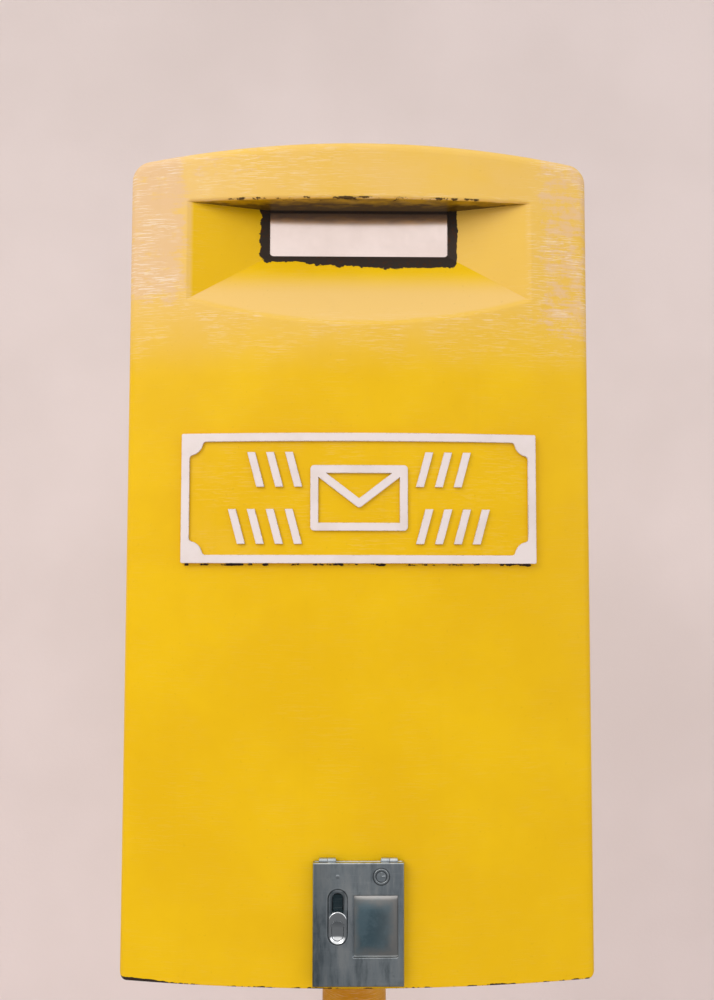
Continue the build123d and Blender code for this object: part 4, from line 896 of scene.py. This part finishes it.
def smooth(mesh: bpy.types.Mesh, angle: Number = 38.0) -> None:
    """Shades a mesh smooth, apart from edges sharper than the angle in degrees."""
    mesh.polygons.foreach_set("use_smooth", [True] * len(mesh.polygons))
    mesh.set_sharp_from_angle(angle=math.radians(angle))


def islands(mesh: bpy.types.Mesh) -> list[tuple[Vector, Vector]]:
    """Boxes of the separate solids in a mesh.

    Args:
        mesh: Mesh of one or more closed solids.

    Returns:
        The lowest and highest corner of each solid, in order of height, depth and side.
    """
    work = bmesh.new()
    work.from_mesh(mesh)
    bmesh.ops.remove_doubles(work, verts=work.verts, dist=1e-6)
    left = set(work.verts)
    boxes = []
    while left:
        wave = [left.pop()]
        low, high = wave[0].co.copy(), wave[0].co.copy()
        while wave:
            point = wave.pop()
            low = Vector(map(min, low, point.co))
            high = Vector(map(max, high, point.co))
            for edge in point.link_edges:
                other = edge.other_vert(point)
                if other in left:
                    left.remove(other)
                    wave.append(other)
        boxes.append((low, high))
    work.free()
    return sorted(boxes, key=lambda box: tuple(round(value, 4) for value in box[0].zyx))


class GeometryTree:
    """A tree of geometry nodes under construction."""

    def __init__(self, name: str) -> None:
        """Starts a tree with a geometry input and output."""
        self.group = bpy.data.node_groups.new(name, "GeometryNodeTree")
        self.group.interface.new_socket("Geometry", in_out="INPUT", socket_type="NodeSocketGeometry")
        self.group.interface.new_socket("Geometry", in_out="OUTPUT", socket_type="NodeSocketGeometry")
        self.start = self.group.nodes.new("NodeGroupInput")
        self.end = self.group.nodes.new("NodeGroupOutput")

    def size(self, name: str, kind: str = "NodeSocketFloat") -> str:
        """Adds a named input.

        Args:
            name: Its name.
            kind: Its socket type.

        Returns:
            The socket's identifier.
        """
        return self.group.interface.new_socket(name, in_out="INPUT", socket_type=kind).identifier

    def node(self, kind: str, settings: dict[str, Any], inputs: dict[str | int, Any]) -> bpy.types.Node:
        """Adds a node, sets its properties, and then sets or links its sockets.

        Args:
            kind: The node's type.
            settings: Its properties.
            inputs: Values or output sockets by name or number.

        Returns:
            The node.
        """
        node = self.group.nodes.new(kind)
        for key, value in settings.items():
            setattr(node, key, value)
        for key, value in inputs.items():
            if isinstance(value, bpy.types.NodeSocket):
                self.group.links.new(value, node.inputs[key])
            elif isinstance(value, list):
                for socket in value:
                    self.group.links.new(socket, node.inputs[key])
            else:
                node.inputs[key].default_value = value
        return node


@dataclass
class RivetSet:
    """Round-headed rivets that point one way, one at each point of a mesh."""

    name: str
    axis: tuple[float, float, float]
    radius: float
    head: float
    shank_radius: float
    shank: float

    def tree(self) -> tuple[GeometryTree, dict[str, str]]:
        """Builds the tree that puts one rivet at each point.

        Returns:
            The tree, and its inputs' identifiers by name.
        """
        tree = GeometryTree(self.name + "_rule")
        names = ("Head Radius", "Head Height", "Shank Radius", "Shank Length")
        ids = {name: tree.size(name) for name in names}
        ids["Finish"] = tree.size("Finish", "NodeSocketMaterial")
        given = tree.start.outputs
        turn = Vector((0.0, 0.0, 1.0)).rotation_difference(Vector(self.axis)).to_euler()
        halved = {0: given["Shank Length"], 1: -0.5}
        drop = tree.node("ShaderNodeMath", {"operation": "MULTIPLY"}, halved).outputs[0]
        down = tree.node("ShaderNodeCombineXYZ", {}, {"Z": drop}).outputs[0]
        shank = tree.node(
            "GeometryNodeMeshCylinder",
            {"fill_type": "NGON"},
            {"Vertices": 20, "Radius": given["Shank Radius"], "Depth": given["Shank Length"]},
        ).outputs["Mesh"]
        shank = tree.node("GeometryNodeTransform", {}, {"Geometry": shank, "Translation": down}).outputs[0]
        round_head = {"Segments": 28, "Rings": 16, "Radius": 1.0}
        ball = tree.node("GeometryNodeMeshUVSphere", {}, round_head).outputs["Mesh"]
        scale = tree.node(
            "ShaderNodeCombineXYZ",
            {},
            {"X": given["Head Radius"], "Y": given["Head Radius"], "Z": given["Head Height"]},
        ).outputs[0]
        top = tree.node("GeometryNodeTransform", {}, {"Geometry": ball, "Scale": scale}).outputs[0]
        whole = tree.node("GeometryNodeJoinGeometry", {}, {"Geometry": [shank, top]}).outputs[0]
        turned = {"Geometry": whole, "Rotation": tuple(turn)}
        whole = tree.node("GeometryNodeTransform", {}, turned).outputs[0]
        spread = tree.node(
            "GeometryNodeInstanceOnPoints", {}, {"Points": given["Geometry"], "Instance": whole}
        ).outputs[0]
        solid = tree.node("GeometryNodeRealizeInstances", {}, {"Geometry": spread}).outputs[0]
        painted = {"Geometry": solid, "Material": given["Finish"]}
        dressed = tree.node("GeometryNodeSetMaterial", {}, painted).outputs[0]
        tree.group.links.new(dressed, tree.end.inputs["Geometry"])
        return tree, ids

    def build(self, places: Sequence[Vector], finish: bpy.types.Material) -> bpy.types.Object:
        """Makes the rivets as one plain mesh.

        Args:
            places: Where each head meets its seat.
            finish: The material.

        Returns:
            The new piece, not yet on a body.
        """
        points = bpy.data.meshes.new(self.name)
        points.from_pydata([tuple(place) for place in places], [], [])
        piece = place_object(self.name, points)
        tree, ids = self.tree()
        rule = piece.modifiers.new("rule", "NODES")
        rule.node_group = tree.group
        sizes = (self.radius, self.head, self.shank_radius, self.shank)
        for name, value in zip(("Head Radius", "Head Height", "Shank Radius", "Shank Length"), sizes):
            rule[ids[name]] = value
        rule[ids["Finish"]] = finish
        smooth(finished_mesh(piece, self.name), 45.0)
        return piece


# ---------------------------------------------------------------- sub-assemblies


@dataclass
class SubAssembly:
    """A group of pieces that are dressed together."""

    frame: dict[str, Any]
    palette: Palette
    made: list[str] = field(default_factory=list)

    def dress(self, finish: bpy.types.Material, *nodes: str) -> None:
        """Gives CAD nodes a finish.

        Args:
            finish: The material.
            nodes: Names of the nodes.
        """
        for name in nodes:
            for material_slot in self.frame["nodes"][name].material_slots:
                material_slot.material = finish
            self.made.append(name)

    def softened(
        self, node: str, body: str, slot: str, finish: bpy.types.Material, width: float, segments: int = 2
    ) -> bpy.types.Object:
        """Makes a piece with rounded edges that stands for a CAD node.

        Args:
            node: The CAD node.
            body: Body that the piece rides on.
            slot: Material slot of the record.
            finish: The material.
            width: How far each sharp edge is cut back, in metres.
            segments: Number of faces across each rounded edge.

        Returns:
            The new piece.
        """
        work = bmesh.new()
        work.from_mesh(self.frame["nodes"][node].data)
        bmesh.ops.remove_doubles(work, verts=work.verts, dist=1e-6)
        mesh = bpy.data.meshes.new(node + "_soft")
        work.to_mesh(mesh)
        work.free()
        piece = place_object(node + "_soft", mesh)
        bevel = piece.modifiers.new("edges", "BEVEL")
        bevel.width = width
        bevel.segments = segments
        bevel.limit_method = "ANGLE"
        bevel.angle_limit = math.radians(40.0)
        bevel.use_clamp_overlap = True
        bevel.miter_outer = "MITER_ARC"
        smooth(finished_mesh(piece, node + "_soft"), 50.0)
        even = piece.modifiers.new("even_shading", "WEIGHTED_NORMAL")
        even.keep_sharp = True
        even.weight = 100
        finished_mesh(piece, node + "_soft")
        self.finish(piece, body, slot, finish)
        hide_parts(node)
        return piece

    def rivets(
        self, node: str, body: str, axis: tuple[float, float, float], sizes: tuple[float, float, float]
    ) -> bpy.types.Object:
        """Makes the rivets that stand for a CAD node, one at each of its solids.

        Args:
            node: The CAD node.
            body: Body that they ride on.
            axis: Direction that the heads point in.
            sizes: Head radius, head height and shank radius, in metres.

        Returns:
            The new piece.
        """
        boxes = islands(self.frame["nodes"][node].data)
        along = max(range(3), key=lambda number: abs(axis[number]))
        ends = [(box[1] if axis[along] > 0 else box[0])[along] for box in boxes]
        length = max(box[1][along] - box[0][along] for box in boxes)
        radius, head, shank_radius = sizes
        places = []
        for (low, high), end in zip(boxes, ends):
            place = (low + high) / 2
            place[along] = end - math.copysign(head, axis[along])
            places.append(place)
        rule = RivetSet(node + "_made", axis, radius, head, shank_radius, length - head)
        piece = rule.build(places, self.palette.zinc)
        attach(piece, body)
        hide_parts(node)
        self.made.append(piece.name)
        return piece

    def finish(self, piece: bpy.types.Object, body: str, slot: str, finish: bpy.types.Material) -> None:
        """Gives a new piece its material and its body.

        Args:
            piece: The piece.
            body: Body that it rides on.
            slot: Material slot of the record; not used.
            finish: The material.
        """
        piece.data.materials.clear()
        piece.data.materials.append(finish)
        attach(piece, body)
        self.made.append(piece.name)

    def report(self) -> None:
        """Logs what was made or dressed."""
        log.info("%s: %s", type(self).__name__, ", ".join(self.made))


@dataclass
class Case(SubAssembly):
    """The bow-fronted case, its seam, flap and baffle."""

    rivet: tuple[float, float, float] = (0.0038, 0.0012, 0.002)

    def build(self) -> None:
        """Dresses the case's shells, seam, flap and the parts behind the slot."""
        self.dress(self.palette.front, "front_shell")
        self.dress(self.palette.rear, "rear_case")
        self.dress(self.palette.rubber, "case_seal")
        self.dress(self.palette.flap, "slot_flap")
        self.dress(self.palette.zinc, "case_screws", "case_nuts", "flap_brackets", "flap_pin", "baffle_plate")
        self.rivets("bracket_rivets", "case", (0.0, -1.0, 0.0), self.rivet)
        self.report()


@dataclass
class Sign(SubAssembly):
    """The sign with its raised border and marks."""

    border_edge: float = 0.0009
    mark_edge: float = 0.0008

    def build(self) -> None:
        """Dresses the plate and makes the raised parts with rounded edges."""
        self.dress(self.palette.sign, "sign_plate")
        self.dress(self.palette.zinc, "sign_nuts")
        self.softened("sign_frame", "case", "white_paint", self.palette.white, self.border_edge)
        self.softened("sign_emblem", "case", "white_paint", self.palette.white, self.mark_edge)
        self.report()


@dataclass
class LockCover(SubAssembly):
    """The cover over the lock, with its time tag and thumb catch."""

    sheet_edge: float = 0.0003
    thumb_edge: float = 0.0004
    tag_swell: float = 0.0009
    tag_cells: int = 28
    rivet: tuple[float, float, float] = (0.0038, 0.0012, 0.002)

    def build(self) -> None:
        """Makes the cover, the swelled tag and the thumb catch, and dresses what is behind them."""
        self.softened("lock_cover", "cover", "cover_steel", self.palette.cover, self.sheet_edge)
        self.softened("thumb_slide", "catch", "thumb_chrome", self.palette.chrome, self.thumb_edge)
        self.dress(self.palette.cover, "tag_holder", "lock_plate")
        self.dress(self.palette.zinc, "cover_pins")
        self.rivets("plate_rivets", "case", (0.0, -1.0, 0.0), self.rivet)
        self.dress(self.palette.catch, "catch_plate")
        self.dress(self.palette.brass, "lock_body", "lock_plug")
        self.dress(self.palette.zinc, "lock_nut", "lock_cam", "cam_screw")
        self.time_tag()
        self.report()

    def time_tag(self) -> bpy.types.Object:
        """Makes the tag as a thin plate that swells a little in the window.

        Returns:
            The tag.
        """
        low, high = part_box("time_tag")
        work = bmesh.new()
        count = self.tag_cells
        sheets = []
        for front in (True, False):
            grid = []
            for row in range(count + 1):
                line = []
                for column in range(count + 1):
                    u, v = column / count, row / count
                    across = 1 - abs(2 * u - 1) ** 3
                    along = 1 - abs(2 * v - 1) ** 3
                    swell = self.tag_swell * min(1.0, 1.25 * across * along)
                    rolled = self.tag_swell * 0.5 * (min(across, along, 0.12) / 0.12 - 1)
                    depth = low.y + 0.0003 - swell - rolled if front else high.y
                    x = low.x + u * (high.x - low.x)
                    z = low.z + v * (high.z - low.z)
                    line.append(work.verts.new((x, depth, z)))
                grid.append(line)
            sheets.append(grid)
            for row in range(count):
                for column in range(count):
                    corners = [grid[row][column], grid[row][column + 1]]
                    corners += [grid[row + 1][column + 1], grid[row + 1][column]]
                    work.faces.new(corners if front else corners[::-1])
        for place in range(count):
            for pick in (
                lambda grid, n: grid[0][n],
                lambda grid, n: grid[count - n][0],
                lambda grid, n: grid[count][count - n],
                lambda grid, n: grid[n][count],
            ):
                near, far = sheets
                front_pair = [pick(near, place + 1), pick(near, place)]
                work.faces.new(front_pair + [pick(far, place), pick(far, place + 1)])
        bmesh.ops.recalc_face_normals(work, faces=work.faces)
        mesh = bpy.data.meshes.new("time_tag_plate")
        work.to_mesh(mesh)
        work.free()
        smooth(mesh, 50.0)
        tag = place_object("time_tag_plate", mesh)
        self.finish(tag, "cover", "tag_steel", self.palette.tag)
        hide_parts("time_tag")
        return tag


@dataclass
class FloorDoor(SubAssembly):
    """The door that closes the case's foot, with its hinge and strike."""

    rivet: tuple[float, float, float] = (0.0038, 0.0012, 0.002)

    def build(self) -> None:
        """Dresses the door, its hinge and its strike."""
        self.dress(self.palette.foot, "floor_door")
        self.dress(self.palette.zinc, "case_leaf", "door_pin", "door_leaf", "strike")
        self.rivets("leaf_rivets", "case", (0.0, 1.0, 0.0), self.rivet)
        self.rivets("door_rivets", "door", (0.0, 0.0, -1.0), self.rivet)
        self.rivets("strike_rivets", "door", (0.0, 0.0, -1.0), self.rivet)
        self.report()


@dataclass
class Post(SubAssembly):
    """The round post with its foot plate, and the clamps that carry the case."""

    def build(self) -> None:
        """Dresses the post, its foot and its clamps."""
        self.dress(self.palette.post, "post_tube", "base_plate", "base_gussets")
        self.dress(self.palette.post, "upper_saddle", "lower_saddle")
        self.dress(self.palette.plastic, "post_cap")
        self.dress(self.palette.zinc, "upper_ubolt", "lower_ubolt")
        self.dress(self.palette.zinc, "backing_plates", "clamp_washers", "clamp_nuts")
        self.report()


# ---------------------------------------------------------------- stage, light and camera


@dataclass
class Studio:
    """Pale floor and backdrop, soft lights and the camera."""

    floor_reach: float = 7.5
    backdrop_y: float = 1.45
    backdrop_half: float = 7.5
    backdrop_height: float = 7.0
    wall: str = "e5d9d7"
    shade: str = "dbcfcc"
    sky_strength: float = 1.0
    sky_light: tuple[tuple[float, Colour], ...] = (
        (0.0, (0.10, 0.105, 0.11)),
        (0.44, (0.17, 0.175, 0.18)),
        (0.50, (0.42, 0.42, 0.42)),
        (0.56, (0.92, 0.91, 0.90)),
        (0.75, (1.02, 1.01, 1.00)),
        (1.0, (1.22, 1.21, 1.20)),
    )
    lens: float = 38.55
    stand: tuple[float, float, float] = (-0.0155, -1.32305, 1.083)
    pitch: float = 0.0664
    yaw: float = -0.0134
    roll: float = 0.002

    def build(self) -> None:
        """Makes the stage, the lights, the surroundings and the camera."""
        self._floor()
        self._backdrop()
        self._surroundings()
        self._lamp("key", (-1.7, -2.3, 2.75), (0.0, -0.2, 1.15), 1.6, 35.0, "fffaf4")
        self._lamp("fill", (2.3, -2.0, 1.5), (0.0, -0.2, 1.1), 1.8, 7.0, "f8faff")
        self._lamp("rear", (0.6, 2.6, 2.6), (0.0, 0.0, 0.9), 1.8, 18.0, "fffaf4")
        self._camera()
        log.info("studio: floor, backdrop, lights and camera")

    def _floor(self) -> None:
        """Makes the pale floor."""
        reach = self.floor_reach
        corners = [(-reach, -reach, 0.0), (reach, -reach, 0.0), (reach, reach, 0.0), (-reach, reach, 0.0)]
        mesh = bpy.data.meshes.new("floor")
        mesh.from_pydata(corners, [], [(0, 1, 2, 3)])
        floor = place_object("floor", mesh)
        shader = Shader("floor_plaster")
        cloud = shader.noise(shader.place, 1.3, 4.0)
        colour = shader.mix(cloud, linear(self.wall), linear(self.shade))
        mesh.materials.append(shader.surface(Base_Color=colour, Roughness=0.85, Specular_IOR_Level=0.2))
        floor.visible_glossy = False

    def _backdrop(self) -> None:
        """Makes the wall behind the post, which can be seen only from its front."""
        half, y, top = self.backdrop_half, self.backdrop_y, self.backdrop_height
        corners = [(-half, y, 0.0), (half, y, 0.0), (half, y, top), (-half, y, top)]
        mesh = bpy.data.meshes.new("backdrop")
        mesh.from_pydata(corners, [], [(0, 1, 2, 3)])
        wall = place_object("backdrop", mesh)
        shader = Shader("wall_plaster")
        cloud = shader.noise(shader.place, 1.1, 4.0)
        grain = shader.noise(shader.place, 130.0, 4.0)
        colour = shader.mix(cloud.ramp(0.3, 0.7), linear(self.wall), linear(self.shade))
        plaster = shader.node(
            "ShaderNodeBsdfPrincipled",
            {},
            {"Base Color": colour, "Roughness": 0.9, "Normal": shader.bump(grain, 0.0006, 0.5)},
        )
        clear = shader.node("ShaderNodeBsdfTransparent", {}, {})
        behind = shader.node("ShaderNodeNewGeometry", {}, {}).out("Backfacing")
        sides = {0: behind, 1: plaster.out("BSDF"), 2: clear.out("BSDF")}
        mixed = shader.node("ShaderNodeMixShader", {}, sides)
        output = shader.nodes.new("ShaderNodeOutputMaterial")
        shader.links.new(mixed.out("Shader").socket, output.inputs["Surface"])
        mesh.materials.append(shader.material)

    def _surroundings(self) -> None:
        """Sets a soft pale surrounding light."""
        world = bpy.data.worlds.new("pale_room")
        world.use_nodes = True
        shader = Shader("pale_room", world)
        direction = shader.node("ShaderNodeTexCoord", {}, {}).out("Generated")
        height = shader.node("ShaderNodeSeparateXYZ", {}, {"Vector": direction}).out("Z")
        bands = shader.node("ShaderNodeValToRGB", {"stops": self.sky_light}, {"Fac": height * 0.5 + 0.5})
        light = bands.out("Color")
        seen = shader.node("ShaderNodeLightPath", {}, {}).out("Is Camera Ray")
        colour = shader.mix(seen, light, linear(self.wall))
        sky = shader.node("ShaderNodeBackground", {}, {"Color": colour, "Strength": self.sky_strength})
        output = shader.nodes.new("ShaderNodeOutputWorld")
        shader.links.new(sky.out().socket, output.inputs["Surface"])
        bpy.context.scene.world = world

    @staticmethod
    def _lamp(
        name: str,
        place: Sequence[float],
        target: Sequence[float],
        size: float,
        power: float,
        tint: str,
    ) -> None:
        """Adds a square soft light.

        Args:
            name: Its name.
            place: Where it hangs.
            target: Where it points.
            size: Length of its side in metres.
            power: Power in watts.
            tint: Its colour.
        """
        light = bpy.data.lights.new(name, "AREA")
        light.shape = "SQUARE"
        light.size = size
        light.energy = power
        light.color = linear(tint)
        lamp = bpy.data.objects.new(name, light)
        lamp.location = place
        lamp.rotation_euler = (Vector(target) - Vector(place)).to_track_quat("-Z", "Y").to_euler()
        bpy.context.scene.collection.objects.link(lamp)

    def _camera(self) -> None:
        """Stands the camera in front of the box, a little to the left and below its middle."""
        view = bpy.data.cameras.new("camera")
        view.lens = self.lens
        view.sensor_fit = "AUTO"
        view.sensor_width = 36.0
        view.clip_start = 0.02
        camera = bpy.data.objects.new("camera", view)
        turn = Matrix.Rotation(self.yaw, 3, "Z") @ Matrix.Rotation(math.pi / 2 + self.pitch, 3, "X")
        turn = turn @ Matrix.Rotation(self.roll, 3, "Z")
        camera.location = self.stand
        camera.rotation_euler = turn.to_euler()
        bpy.context.scene.collection.objects.link(camera)
        bpy.context.scene.camera = camera


def main() -> None:
    """Loads the frame, dresses every sub-assembly and sets the stage."""
    logging.basicConfig(level=logging.INFO, format="%(name)s: %(message)s")
    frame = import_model()
    bpy.context.scene.view_settings.view_transform = "Standard"
    palette = Palette()
    for group in (Case, Sign, LockCover, FloorDoor, Post):
        group(frame, palette).build()
    Studio().build()


if __name__ == "__main__":
    main()
